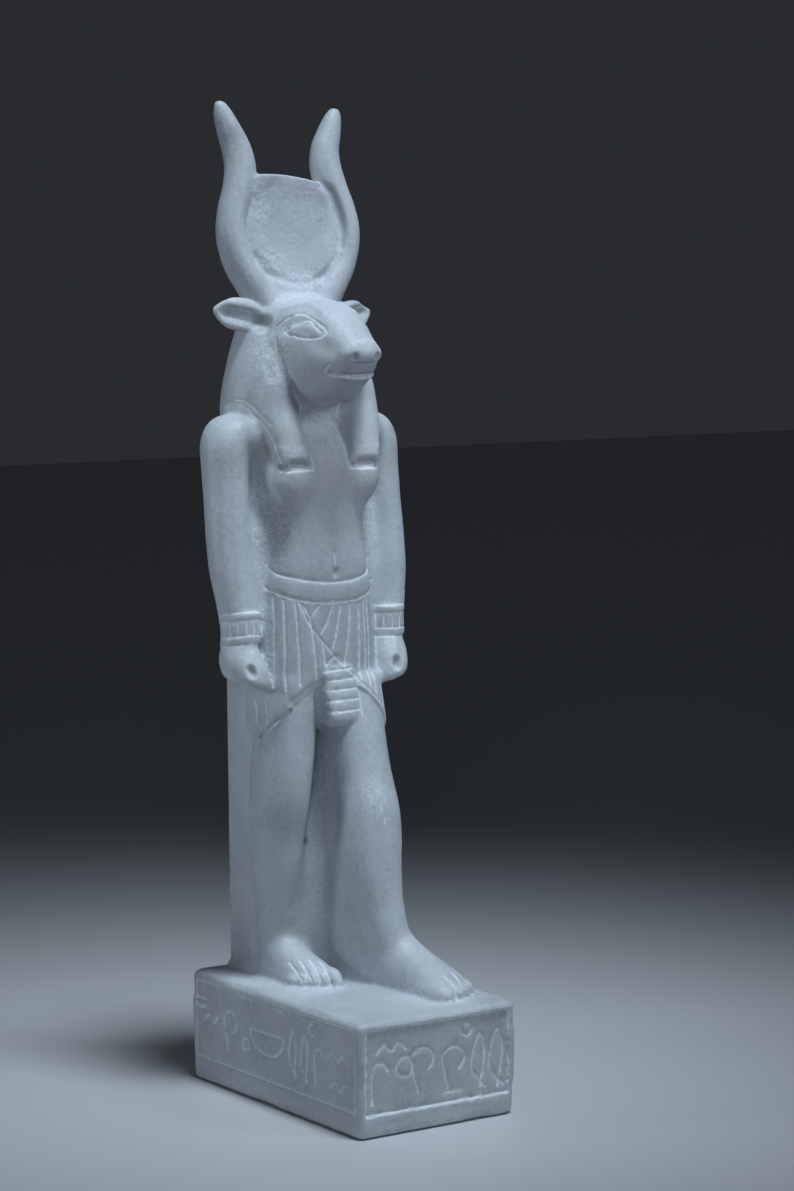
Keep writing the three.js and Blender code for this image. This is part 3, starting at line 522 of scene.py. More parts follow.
WIG_FLANK = [
    (15.8, 19, 200, 5.6, 8, 6, 2), (16, 20, 205, 6, 9, 6, 2), (15.8, 22.4, 212, 6, 8.8, 6, 2),
    (15.4, 24, 220, 6, 8.4, 6, 2), (13.4, 24.6, 228, 5.2, 7, 6, 2), (12, 25, 234, 4.6, 6, 6, 2),
]
wig_forms = [upright("wig", WIG, sides=56)]
wig_forms += upright_pair("lappet", LAPPET) + upright_pair("wig flank", WIG_FLANK)
wig = fused("wig", wig_forms, voxel=0.9, rounds=18)
head_and_wig = fused("head and wig", [wig, head], voxel=0.6, rounds=6)
lappet_ends = upright_pair("lappet end", LAPPET_END)

# %% [markdown]
# ## Horns and disc
#
# The horns rise from the top of the head, swing out, close in on the disc and end in blunt tips that turn
# outwards. The disc between them is a thick, flat-faced wheel that leans back a little.

# %% Horns and disc
HORN = [
    (7.4, 27.6, 235, 6, 5.5), (10.2, 27.8, 240.6, 5.3, 5.3), (14.3, 28.4, 246.6, 5, 5.1),
    (18.4, 29.2, 253.4, 4.8, 5), (20.5, 29.8, 261.5, 4.6, 4.8), (19.7, 30.4, 268.4, 4.5, 4.6),
    (17.1, 31.2, 275, 4.9, 4.4), (15.4, 32.4, 281.4, 5.2, 4.2), (15.9, 33.6, 287.4, 4.7, 3.9),
    (17.9, 34.5, 293, 3.9, 3.5), (19.6, 35, 297.6, 3, 2.8), (20.4, 35.2, 300, 2.2, 2.1),
    (20.8, 35.3, 301.3, 1.5, 1.4), (20.9, 35.3, 301.9, 0.6, 0.6),
]
DISC = {"radius": 16.6, "half": 3.6, "y": 30.6, "z": 262.6, "lean": 0.1, "edge": 1.1}
DISC_TOP = [
    (-15, 262), (-14.6, 275), (-13, 279), (-10, 279.9), (-5, 279.9), (0, 279.4), (6, 278.5), (11, 277.3),
    (13, 275.6), (14, 262),
]
DISC_TOP_FLOOR, DISC_TOP_FRONT, DISC_TOP_BACK = 258, 28, 33.6
# The left horn is a little shorter than the right one, from this level up.
LEFT_HORN_SHORT, SHORT_FROM = 0.91, 285
CROWN_FOOT = [
    (0, 28.6, 234, 13, 6.6, 6, 2.4), (0, 28.8, 242, 13.6, 5.6, 5.4, 2.4),
    (0, 29.2, 247, 13.2, 4.6, 4.6, 2.4), (0, 29.6, 251, 12, 3.4, 4, 2.4),
]


def disc_form():
    """A cylinder laid on its side, with its rims bevelled."""
    bpy.ops.object.select_all(action="DESELECT")
    bpy.ops.mesh.primitive_cylinder_add(
        vertices=96, radius=DISC["radius"] * MM, depth=2 * DISC["half"] * MM,
        location=(0, DISC["y"] * MM, DISC["z"] * MM), rotation=(np.pi / 2 - DISC["lean"], 0, 0),
    )
    form = bpy.context.object
    form.name = "disc"
    bpy.ops.object.transform_apply(location=True, rotation=True, scale=True)
    bpy.ops.object.mode_set(mode="EDIT")
    bpy.ops.mesh.select_all(action="DESELECT")
    bpy.ops.object.mode_set(mode="OBJECT")
    for face in form.data.polygons:
        face.select = len(face.vertices) > 4
    bpy.ops.object.mode_set(mode="EDIT")
    bpy.ops.mesh.bevel(offset=DISC["edge"] * MM, segments=3, affect="EDGES")
    bpy.ops.object.mode_set(mode="OBJECT")
    return form


left_horn = []
for x, y, z, w, d in HORN:
    left_horn.append((x, y, z if z < SHORT_FROM else SHORT_FROM + (z - SHORT_FROM) * LEFT_HORN_SHORT, w, d))
crown = [bent("right horn", other_side(HORN)), bent("left horn", left_horn), disc_form()]
crown.append(through("disc top", DISC_TOP, DISC_TOP_FLOOR, DISC_TOP_FRONT, DISC_TOP_BACK))
crown.append(upright("crown foot", CROWN_FOOT))
print("crown forms:", len(crown))

# %% [markdown]
# ## The plinth
#
# An oblong block with rounded edges, very slightly narrower at the bottom.

# %% Plinth
PLINTH = {"width": 56.6, "depth": 96, "height": PLINTH_TOP, "taper": 0.985, "edge": 2}


def plinth_form():
    bpy.ops.object.select_all(action="DESELECT")
    bpy.ops.mesh.primitive_cube_add(size=1, location=(0, 0, PLINTH["height"] / 2 * MM))
    form = bpy.context.object
    form.name = "plinth"
    bpy.ops.transform.resize(value=(PLINTH["width"] * MM, PLINTH["depth"] * MM, PLINTH["height"] * MM))
    bpy.ops.object.transform_apply(location=True, rotation=True, scale=True)
    bpy.ops.object.mode_set(mode="EDIT")
    bpy.ops.mesh.select_mode(type="VERT")
    bpy.ops.mesh.select_all(action="DESELECT")
    bpy.ops.object.mode_set(mode="OBJECT")
    for corner in form.data.vertices:
        corner.select = corner.co.z < MM
    bpy.ops.object.mode_set(mode="EDIT")
    bpy.ops.transform.resize(value=(PLINTH["taper"], PLINTH["taper"], 1), center_override=(0, 0, 0))
    bpy.ops.mesh.select_all(action="SELECT")
    bpy.ops.mesh.bevel(offset=PLINTH["edge"] * MM, segments=3, affect="EDGES")
    bpy.ops.object.mode_set(mode="OBJECT")
    return form


plinth = plinth_form()
print("plinth, mm:", [round(side / MM, 1) for side in plinth.dimensions])

# %% [markdown]
# ## One skin of stone
#
# Everything is fused into one skin with faces of half a millimetre, fine enough for the lines that are cut
# next.

# %% All forms fused
figure = [body, *toe_forms, kilt, belt, tab, *bracelets, *ears, head_and_wig, *lappet_ends, *crown]
stone = fused("statue_stone", [plinth, pillar, *figure], voxel=0.5, rounds=3)

# %% [markdown]
# ## The chisel
#
# The lines are real cuts. A carver lays a line on the form and sinks it with a pointed chisel. Here a path
# is laid on the skin, and each point of the skin close to it moves inwards, most of all in the middle of
# the line. A rasp works in the same way with a wide, soft stroke: it sinks an eye socket or an ear. A
# negative depth leaves a swell standing.

# %% Uneven stone
CELLS = 32
LATTICE = np.random.default_rng(11).uniform(-1, 1, (CELLS, CELLS, CELLS))


def uneven(points, size):
    """Smooth chance values from -1 to 1, with a hump or a dip about every `size` mm, the same on each run."""
    cell = points / size
    base = np.floor(cell).astype(int)
    t = cell - base
    t = t * t * (3 - 2 * t)
    total = np.zeros(len(points))
    for corner in np.ndindex(2, 2, 2):
        weight = np.where(corner, t, 1 - t).prod(1)
        total += weight * LATTICE[tuple(((base + corner) % CELLS).T)]
    return total


print("chance values, from and to:", LATTICE.min().round(2), LATTICE.max().round(2))

# %% Laying a path on the skin
AWAY, ABOVE_FEET = 500, 60
SIGHTS = {
    "front": lambda u, v: ((u, -AWAY, v), (0, 1, 0)),
    "back": lambda u, v: ((u, AWAY, v), (0, -1, 0)),
    "right": lambda u, v: ((-AWAY, u, v), (1, 0, 0)),
    "left": lambda u, v: ((AWAY, u, v), (-1, 0, 0)),
    "above the feet": lambda u, v: ((u, v, ABOVE_FEET), (0, 0, -1)),
}


def laid(path, seen, steps=6):
    """A smooth line on the skin, each row with its place and the way the skin faces there. A path seen from
    the front or back is x, z, from the right or left y, z, from above the feet x, y. A near path is x, y, z
    and drops to the skin."""
    rows = []
    for point in between(path, steps):
        if seen == "near":
            found, place, facing, _ = stone.closest_point_on_mesh(Vector(point) * MM)
        else:
            start, way = SIGHTS[seen](*point)
            found, place, facing, _ = stone.ray_cast(Vector(start) * MM, Vector(way))
        if found:
            rows.append([*(place / MM), *facing])
    return np.array(rows)


def both_sides(path, seen):
    """A path and its mirror image on the other side of the figure."""
    if seen == "near":
        return [(path, seen), ([(-x, y, z) for x, y, z in path], seen)]
    if seen == "right":
        return [(path, "right"), (path, "left")]
    return [(path, seen), ([(-x, v) for x, v in path], seen)]


# %% Strokes
class Strokes:
    """Strokes that are cut together. Where two of them meet, the deeper one counts."""

    def __init__(self):
        self.made = []

    def add(self, path, seen, width, depth, chalk, soft, paired):
        """Lays a path on the skin, and its mirror image too if the stroke is paired."""
        for way, sight in both_sides(path, seen) if paired else [(path, seen)]:
            self.made.append((laid(way, sight), width, depth, chalk, soft))

    def line(self, path, seen, width, depth, chalk, paired=False):
        """A line cut with a pointed chisel. Chalk says how white the bruised stone is in it."""
        self.add(path, seen, width, depth, chalk, False, paired)

    def rasp(self, path, seen, width, depth, paired=False):
        """A broad, soft stroke that leaves the stone smooth."""
        self.add(path, seen, width, depth, 0.0, True, paired)


# %% How far a stroke reaches
# The edges of a line waver by this share of its width, with a hump about every so many mm.
EDGE_WAVER = (0.5, 1.1)
# A stroke leaves out the skin that turns away from it by more than this, and whitens nearly all that it cuts.
TURNED_AWAY, CHALK_REACH = -0.1, 1.6


def waver(points, share, size):
    """Chance values from -share to share."""
    return share * uneven(points, size)


def off_line(points, line):
    """How far each point lies from a line, in mm."""
    nearest = np.full(len(points), np.inf)
    for a, b in zip(line, line[1:]):
        along = b - a
        t = np.clip((points - a) @ along / max(along @ along, 1e-9), 0, 1)
        nearest = np.minimum(nearest, np.linalg.norm(points - a - t[:, None] * along, axis=1))
    return nearest


def skin_of(piece):
    """The points of a piece in mm, and the way each of them faces."""
    facing = np.empty(len(piece.data.vertices) * 3)
    piece.data.vertices.foreach_get("normal", facing)
    return coordinates(piece) / MM, facing.reshape(-1, 3)


def put_back(piece, points):
    piece.data.vertices.foreach_set("co", (points * MM).ravel())
    piece.data.update()
    bpy.context.view_layer.update()


def reach_of(strokes, points, facing, margin=0.0):
    """For each point the depth that the strokes ask for and how white they leave it."""
    depth, chalk = np.zeros(len(points)), np.zeros(len(points))
    for rows, width, deep, white, soft in strokes.made:
        line, outward = rows[:, :3], rows[:, 3:].mean(0)
        near = ((points > line.min(0) - width) & (points < line.max(0) + width)).all(1)
        near &= facing @ outward > TURNED_AWAY
        near = np.flatnonzero(near)
        off = off_line(points[near], line)
        if not soft:
            off = off * (1 + waver(points[near], *EDGE_WAVER))
        fall = np.clip(1 - (off - margin) / (width / 2), 0, 1)
        if soft:
            fall = fall * fall * (3 - 2 * fall)
        asked = deep * fall
        depth[near] = np.where(np.abs(asked) > np.abs(depth[near]), asked, depth[near])
        chalk[near] = np.maximum(chalk[near], white * np.clip(CHALK_REACH * fall, 0, 1))
    return depth, chalk


def carve(strokes):
    """Sinks the strokes into the stone."""
    points, facing = skin_of(stone)
    depth, _ = reach_of(strokes, points, facing)
    put_back(stone, points - facing * depth[:, None])
    print("strokes cut:", len(strokes.made), "deepest, mm:", round(float(depth.max()), 2))


# %% [markdown]
# ## Face, ears and body before the lines
#
# First the soft work: the eye sockets with the balls of the eyes standing in them, the brow, the hollow
# ears, nostrils, throat, navel and the holes in the fists.

# %% Soft hollows and swells of the head
soft = Strokes()
EYE_SOCKET = [(15, 233.4), (8, 234.6), (0, 233)]
CHEEK_HOLLOW = [(-1, 229.5), (-5, 227.6)]
BROW = [(16, 239), (9.5, 240.6), (2, 238)]
EAR_HOLLOW = [(-25.4, 25, 238), (-20.5, 23, 236.9), (-15.6, 20.4, 235.4)]
FACE_EDGE = [(-15.2, 14.8, 234), (-15.4, 14, 230), (-15, 10.6, 225), (-13.6, 8.8, 219.6), (-10.6, 9.8, 215)]
WIG_HOLLOW = [(-16.6, 14, 238), (-17.4, 15, 226), (-15.6, 14, 218)]
soft.rasp(EYE_SOCKET, "right", 9, 0.8, paired=True)
soft.rasp(CHEEK_HOLLOW, "right", 8, 0.5, paired=True)
soft.rasp(BROW, "right", 4, -0.5, paired=True)
soft.rasp(EAR_HOLLOW, "near", 8, 2.2, paired=True)
soft.rasp(FACE_EDGE, "near", 3.4, 0.7, paired=True)
soft.rasp(WIG_HOLLOW, "near", 5, 0.5, paired=True)
print("soft strokes on the head:", len(soft.made))

# %% Soft hollows and swells of the legs, the disc and the trunk
WEB_SWELL = [(2.6, 18.8, 38), (2, 18.8, 70), (1, 18, 92)]
HORN_GROOVE = [(11.6, 27.4, 278), (14.4, 27, 273.5), (16.4, 26.6, 268), (17, 26, 262), (16.4, 25.6, 258)]
HORN_GROOVE_END = [(16.4, 25.6, 260), (15.4, 25.4, 255), (13.4, 25.2, 251.4)]
THROAT = [(-3, 206), (0, 202), (3, 206)]
UNDER_HEM = [(-13.4, 121), (-8.5, 124.4), (-4.4, 126.4)]
DISC_HOLLOW = [(-11, 262), (-11, 272), (-6, 277)]
DISC_HOLLOW_LEFT = [(11, 262), (11, 270)]
DISC_FOOT = [(-13.6, 255), (-8.6, 249.6), (0, 246.8), (9, 248.6), (14.6, 252.6)]
soft.rasp(WEB_SWELL, "near", 8, -0.9)
soft.rasp(HORN_GROOVE, "near", 4.4, 0.9)
soft.rasp(HORN_GROOVE_END, "near", 4, 0.5)
soft.rasp(THROAT, "front", 9, 0.7)
soft.rasp(UNDER_HEM, "front", 5, 0.6)
soft.rasp(DISC_HOLLOW, "front", 7, 0.2)
soft.rasp(DISC_HOLLOW_LEFT, "front", 6, 0.3)
soft.rasp(DISC_FOOT, "front", 4, 0.45)
print("soft strokes:", len(soft.made))

# %% Worn edges of the plinth
# A worn stretch: its ends, how wide the wear is, how deep.
WORN = [
    ([(28, -47.6, 34.4), (28, -47.6, 28)], 7, 0.6), ([(28, -48, 8), (27.6, -47.6, 0.4)], 7, 0.5),
    ([(4, -48, 34.6), (12, -48, 34.6)], 5, 0.4), ([(-14, -48, 34.6), (-5, -48, 34.6)], 4, 0.3),
    ([(-28.2, -30, 34.6), (-28.2, -18, 34.6)], 4, 0.3), ([(-28.2, 10, 34.6), (-28.2, 22, 34.6)], 5, 0.4),
    ([(-28, 47.6, 34), (-28, 47, 28)], 7, 0.6), ([(-28, -48, 21), (-28, -48, 15)], 3.4, 0.3),
    ([(10, -48, 0.4), (18, -48, 0.4)], 4, 0.4), ([(-28, 0, 0.4), (-28, 10, 0.4)], 4, 0.4),
    ([(28, 20, 34.4), (28, 30, 34.4)], 5, 0.4),
]
for edge, width, deep in WORN:
    soft.rasp(edge, "near", width, deep)
carve(soft)

# %% Eyeballs, nostrils, lappet feet, fists and other small soft work
deeper = Strokes()
EYEBALL = [(8, 233.2), (4.4, 233.6), (1, 232.8)]
NOSTRIL = [(4, 225.4), (4.3, 224.8)]
PIT = [(-5.2, 15, 77), (-5, 15, 76.8)]
LENS = [(-16.6, 8, 192.2), (-14.6, 6.2, 192.3), (-12, 5.6, 192.4), (-9.4, 5.8, 192.3), (-7.4, 6.6, 192.2)]
LENS_MIDDLE = [(x, y, z + 0.4) for x, y, z in LENS[1:4]]
LOWER_LIP = [(-8.2, -5, 218.6), (-5.4, -8.4, 217.4), (0, -10, 216.8), (5.4, -8.4, 217.4), (8.2, -5, 218.6)]
NAVEL = [(-0.3, 160.6), (-0.3, 159.4)]
RIGHT_FIST_HOLE = [(-28, 9.6, 131.8), (-27.6, 9.2, 130.6)]
LEFT_FIST_HOLE = [(24, 8.2, 131), (23.8, 8, 129.6)]
THUMB = [(-25.6, 10.6, 137), (-24, 8.6, 132), (-22, 8.8, 126.6)]
deeper.rasp(EYEBALL, "right", 5.6, -0.75, paired=True)
deeper.rasp(NOSTRIL, "front", 3, 1, paired=True)
deeper.rasp(PIT, "near", 1.5, 0.9)
deeper.rasp(LENS, "near", 3, 1.2, paired=True)
deeper.rasp(LENS_MIDDLE, "near", 4.4, 2.2, paired=True)
deeper.rasp(LOWER_LIP, "near", 3.4, -0.35)
deeper.rasp(NAVEL, "front", 2.6, 1)
deeper.rasp(RIGHT_FIST_HOLE, "near", 4.2, 1.7)
deeper.rasp(LEFT_FIST_HOLE, "near", 4.2, 1.7)
deeper.rasp(THUMB, "near", 3, -0.4, paired=True)
carve(deeper)

# %% [markdown]
# ## The lines
#
# Now the pointed chisel: eyes, mouth and wig edge, the pleats of the kilt with the line where it wraps
# over, the striped tab, the bracelets, toes, and the frames round the plinth. All cuts are a little
# uneven, as by hand.

# %% Lines of the face
lines = Strokes()
UPPER_LID = [
    (15.4, 234.2), (12.8, 236), (10.5, 237.2), (8, 237.9), (5.6, 237.3), (1.9, 235.7), (-0.7, 234.2),
    (-2.9, 232.5),
]
EYE_TOP = [
    (10.8, 232.8), (8.9, 233.4), (7.4, 234.5), (6, 235.5), (4.7, 235.9), (3.2, 235.5), (0.8, 233.9),
    (-0.8, 232.6),
]
EYE_FOOT = [(11, 232.6), (8.4, 231.7), (4.8, 231), (1.4, 230.7), (-1.5, 231), (-2.9, 232)]
MOUTH = [(-8.2, -5, 220.6), (-7.3, -6.6, 220.2), (-5.4, -8.6, 219.6), (-3, -9.8, 219.2), (0, -10.2, 219)]
LIP = [(x, y, z - 1.1) for x, y, z in MOUTH]
MOUTH_CORNER = [(-9.1, -2.9, 220.9), (-8.9, -4.1, 221.9), (-8.5, -5, 223)]
MUZZLE_FOLD = [(-6.4, -9.4, 223.8), (-5.6, -11, 223), (-3.4, -12.2, 222.6), (0, -12.6, 222.4)]
NOSE_EDGE = [(-5.4, -10.9, 228.7), (-3, -11.3, 229.9), (0, -11.5, 230.2)]
EAR_LINE = [(-25, 25, 239), (-21.5, 23.6, 238.8), (-18, 21.8, 237.6)]
lines.line(UPPER_LID, "right", 1, 0.42, 0.8, paired=True)
lines.line(EYE_TOP, "right", 0.9, 0.36, 0.7, paired=True)
lines.line(EYE_FOOT, "right", 1.1, 0.45, 0.8, paired=True)
lines.line(MOUTH, "near", 1.3, 0.75, 0.2, paired=True)
lines.line(LIP, "near", 1.2, -0.15, 1, paired=True)
lines.line(MOUTH_CORNER, "near", 1.1, 0.35, 0.4, paired=True)
lines.line(MUZZLE_FOLD, "near", 1.2, 0.4, 0.2, paired=True)
lines.line(NOSE_EDGE, "near", 0.7, 0.14, 0.3, paired=True)
lines.line(EAR_LINE, "near", 1.1, 0.35, 0.0, paired=True)
print("lines so far:", len(lines.made))

# %% Lines of the wig and beside the pillar
WIG_RIM = [
    (-23.2, 30.2, 209.5), (-22.7, 26, 211), (-22.5, 23.1, 210.8), (-21.4, 20.4, 210), (-20.7, 15.9, 206.8),
    (-20, 11.9, 203.9), (-18.6, 9.3, 198), (-17.2, 7.7, 192.6),
]
WIG_RIM_INSIDE = [
    (-22.4, 24.8, 212.2), (-21.6, 21.2, 211.9), (-20.7, 17.4, 210), (-20.3, 13.6, 207.6),
    (-19.2, 10.2, 205),
]
LAPPET_FOOT = [(-17.4, 8, 191), (-15, 7, 190.7), (-12, 6.6, 190.6), (-9, 6.6, 190.7), (-6.6, 7, 191)]
LAPPET_INSIDE = [(-9.8, 11, 214), (-6.8, 12.6, 209), (-6.4, 11.4, 203), (-6.6, 9, 197), (-6.4, 7, 192)]
SEAM = [(-17.2, 29, 100), (-16.6, 29.6, 84), (-15.4, 29.6, 66), (-14.6, 29.6, 48)]
lines.line(WIG_RIM, "near", 1, 0.3, 0.9, paired=True)
lines.line(WIG_RIM_INSIDE, "near", 0.7, 0.18, 0.8, paired=True)
lines.line(LAPPET_FOOT, "near", 1, 0.2, 1, paired=True)
lines.line(LAPPET_INSIDE, "near", 1.3, 0.4, 0.6, paired=True)
lines.line(SEAM, "near", 0.8, 0.2, 0.6)
print("lines so far:", len(lines.made))

# %% Navel, belt and pleats
NAVEL_LINE = [(-0.4, 166), (-0.3, 161.4)]
BELT_TOP = [
    (-17.2, 18.6, 162.2), (-16.5, 13.4, 160.2), (-13.8, 9.4, 158.9), (-9.4, 6.6, 157.9), (-4.1, 5.1, 157.2),
    (0, 4.7, 157),
]
BELT_FOOT = [
    (-18.8, 18, 156), (-17.7, 13.2, 154.7), (-15.4, 9.8, 153.3), (-11.7, 7.1, 152.1), (-7.4, 5.5, 151.2),
    (0, 4.7, 150.9),
]
PLEATS = [
    [(-17.6, 153.6), (-18.4, 126)], [(-15.6, 152.4), (-15.8, 124.9)], [(-12.8, 151.4), (-11.6, 126.1)],
    [(-12, 151.4), (-8.6, 145.6), (-6.4, 127.8)], [(-4.7, 138.7), (-3.6, 132)],
    [(-6, 150.3), (-8.6, 146.6)], [(-1.3, 149.8), (-3, 145.6), (-5.1, 141.7)],
    [(1.5, 149.8), (0.6, 144), (-1.2, 137)], [(5.2, 150), (4.6, 141), (3.1, 131.3)],
    [(8.6, 150.2), (9, 139), (8.9, 126.8)], [(10.8, 150.6), (11.6, 139), (12, 125)],
    [(12.6, 151), (13.4, 139), (13.9, 122.6)], [(15.6, 152.4), (16.6, 140), (17, 118)],
]
WRAP = [(-12, 151.4), (-9, 144.9), (-4.7, 139.3), (1.9, 132.1), (8.3, 126.2), (16.1, 118.1), (18.6, 112)]
lines.line(NAVEL_LINE, "front", 0.6, 0.35, 1)
lines.line(BELT_TOP, "near", 1.1, 0.35, 0.9, paired=True)
lines.line(BELT_FOOT, "near", 1.1, 0.4, 0.9, paired=True)
for pleat in PLEATS:
    lines.line(pleat, "front", 1, 0.32, 0.9)
lines.line(WRAP, "front", 0.9, 0.34, 0.9)
print("lines so far:", len(lines.made))

# %% Pleats at the sides, the hem's cut and the scratches on the knee
RIGHT_SIDE_PLEATS = [[(19.8, 121), (19.2, 113.4)], [(15.4, 120.6), (14.8, 114.6)]]
LEFT_SIDE_PLEATS = [[(y, 152), (y + 0.6, 118)] for y in (14, 19, 24)]
HEM_CUT = [
    (-21, 19.6, 107.4), (-19.7, 17.5, 110.4), (-18.6, 12.9, 114.2), (-16.5, 10, 117), (-14.6, 8.9, 118.8),
]
# A scratch: where it starts, and how long it is.
SCRATCHES = [
    ((6.6, -3.2, 90.4), 1.8), ((8.4, -4.6, 87.2), 2.4), ((7.6, -3.8, 93.2), 1.4), ((9.8, -4.8, 89.6), 1.2),
    ((9, -5.2, 83.6), 1.6),
]
for pleat in RIGHT_SIDE_PLEATS:
    lines.line(pleat, "right", 1, 0.3, 0.8)
for pleat in LEFT_SIDE_PLEATS:
    lines.line(pleat, "left", 1, 0.3, 0.8)
lines.line(HEM_CUT, "near", 1.5, 0.8, 0.0)
for (x, y, z), long in SCRATCHES:
    lines.line([(x, y, z), (x + 0.4, y, z + long)], "near", 0.6, 0.12, 1)
print("lines so far:", len(lines.made))

# %% Lines of the tab and the bracelets
TAB_TOP = [(-4, 130), (5.4, 130.5)]
TAB_LOOP = [(-3, 132.2), (-0.4, 134.4), (3.4, 131.6)]
TAB_EDGE = [(7.4, 127.6), (7.6, 116)]
TAB_STRIPES = (127.2, 124.2, 121, 117.7)
RIM_STEP, BAR_STEP = 15, 26
BAR_TOP, BAR_FOOT = 145, 141
# A line round a bracelet: its height and its depth.
RIM_LINES = ((147.9, 0.16), (145.4, 0.28), (140.8, 0.28), (138.1, 0.2))


def wrist_point(side, turn, z, reach=6):
    """A point on a bracelet, at an angle in degrees and a height."""
    u, v = side * WRIST["x"] + reach * np.cos(np.radians(turn)), WRIST["y"] + reach * np.sin(np.radians(turn))
    return u, v, z + BRACELET_TILT[side] * (v - WRIST["y"])


lines.line(TAB_TOP, "front", 1.2, 0.35, 1)
lines.line(TAB_LOOP, "front", 0.8, 0.3, 0.9)
for z in TAB_STRIPES:
    lines.line([(-3.9, z), (1.6, z + 0.1), (6.8, z + 0.2)], "front", 1.1, 0.3, 1)
lines.line(TAB_EDGE, "front", 0.8, 0.2, 0.8)
for side in (-1, 1):
    for turn in range(0, 360, BAR_STEP):
        bar = [wrist_point(side, turn, z) for z in (BAR_TOP, BAR_FOOT)]
        lines.line(bar, "near", 0.8, 0.25, 0.9)
    for z, deep in RIM_LINES:
        for start in range(0, 360, 90):
            quarter = [wrist_point(side, turn, z) for turn in range(start, start + 91, RIM_STEP)]
            lines.line(quarter, "near", 0.8, deep, 0.9)
print("lines so far:", len(lines.made))

# %% Lines between the toes
# How long the line between two toes is, and how far its front end lies before the toes' middles.
TOE_LINE, TOE_END = 6.8, 4
for (side, middle, heel), table in ((RIGHT_STAND, RIGHT_TOES), (LEFT_STAND, LEFT_TOES)):
    for toe, next_toe in zip(table, table[1:]):
        between_them = side * (middle - (toe[0] - toe[2] + next_toe[0] + next_toe[2]) / 2)
        tip = heel - (toe[1] + next_toe[1]) / 2 - TOE_END
        lines.line([(between_them, tip + TOE_LINE), (between_them, tip)], "above the feet", 1, 0.4, 0.9)
print("lines so far:", len(lines.made))

# %% Frames and rows of marks on the plinth
FRAME_SIDE = {"start": -45, "end": 43.8, "low": 7.6, "high": 31.8}
FRAME_FRONT = {"start": -25.6, "end": 25.2, "low": 6.9, "high": 32}


def frame_lines(seen, start, end, low, high):
    corners = [(start, low), (end, low), (end, high), (start, high), (start, low)]
    for corner, next_corner in zip(corners, corners[1:]):
        lines.line([corner, next_corner], seen, 1.1, 0.5, 0.8)


for seen in ("right", "left"):
    frame_lines(seen, **FRAME_SIDE)
for seen in ("front", "back"):
    frame_lines(seen, **FRAME_FRONT)


def arc(u, v, across, up, start, end, count=7):
    """Points on an ellipse round u, v, from one angle to another in degrees."""
    angles = np.radians(np.linspace(start, end, count))
    return [(u + across * np.cos(a), v + up * np.sin(a)) for a in angles]


# Each mark's path for its size h. A row states a mark, where its middle is, and its size.
MARKS = {
    "cane": lambda h: [
        (-h * 0.2, -h / 2), (-h * 0.2, h * 0.2), *arc(0, h * 0.25, h * 0.2, h * 0.2, 150, 0, 5),
    ],
    "wave": lambda h: [((i / 4 - 0.5) * h, (1 if i % 2 else -1) * h * 0.11) for i in range(5)],
    "crook": lambda h: [*arc(0, h * 0.2, h * 0.28, h * 0.26, -60, 180), (-h * 0.1, -h / 2)],
    "bowl": lambda h: arc(0, h * 0.14, h / 2, h * 0.36, 180, 360),
    "nick": lambda h: [(-h / 2, 0), (h / 2, 0)],
    "ring": lambda h: arc(0, 0, h / 2, h / 2, 0, 360),
    "leaf": lambda h: [
        (0.16 * h, -h / 2), (-0.14 * h, -h * 0.1), (0, h / 2), (0.14 * h, h * 0.2), (0.04 * h, -h / 2),
    ],
}
FRONT_MARKS = [
    ("wave", -16.4, 26.4, 10), ("cane", -20.4, 16.4, 13), ("ring", -11.6, 20, 6), ("crook", -5.4, 18.6, 14),
    ("crook", 5.6, 17.2, 14), ("nick", 5.4, 10.2, 6), ("ring", 10.4, 28, 3.6), ("leaf", 14.6, 18, 16),
    ("leaf", 21, 18, 17),
]
SIDE_MARKS = [
    ("nick", -41.6, 26.2, 6), ("nick", -41.6, 23.6, 6), ("wave", -34, 20.6, 11), ("crook", -24, 19, 13),
    ("ring", -15, 16.4, 4), ("bowl", -3, 19.4, 19), ("nick", -3, 22, 19), ("ring", 22.4, 28, 3.6),
    ("leaf", 11.4, 18.4, 14), ("leaf", 17.8, 18.4, 14), ("cane", 26, 17, 13), ("wave", 36, 22, 11),
    ("wave", 37, 13.4, 11),
]
for kind, u, v, size in FRONT_MARKS:
    lines.line([(u + du, v + dv) for du, dv in MARKS[kind](size)], "front", 1.1, 0.55, 1)
for kind, u, v, size in SIDE_MARKS:
    lines.line([(-(u + du), v + dv) for du, dv in MARKS[kind](size)], "right", 1.3, 0.6, 1)
print("lines so far:", len(lines.made))

# %% [markdown]
# ## Cutting and roughening
#
# The skin is made finer along the lines first, so that a narrow cut has enough faces. Then all lines are
# sunk at once, together with the front panel, the pecked places and the slight waver that a hand leaves.
# Two values are written on the points for the material: how bruised the stone is, and how rough. At the
# end the skin is thinned where it is plain.

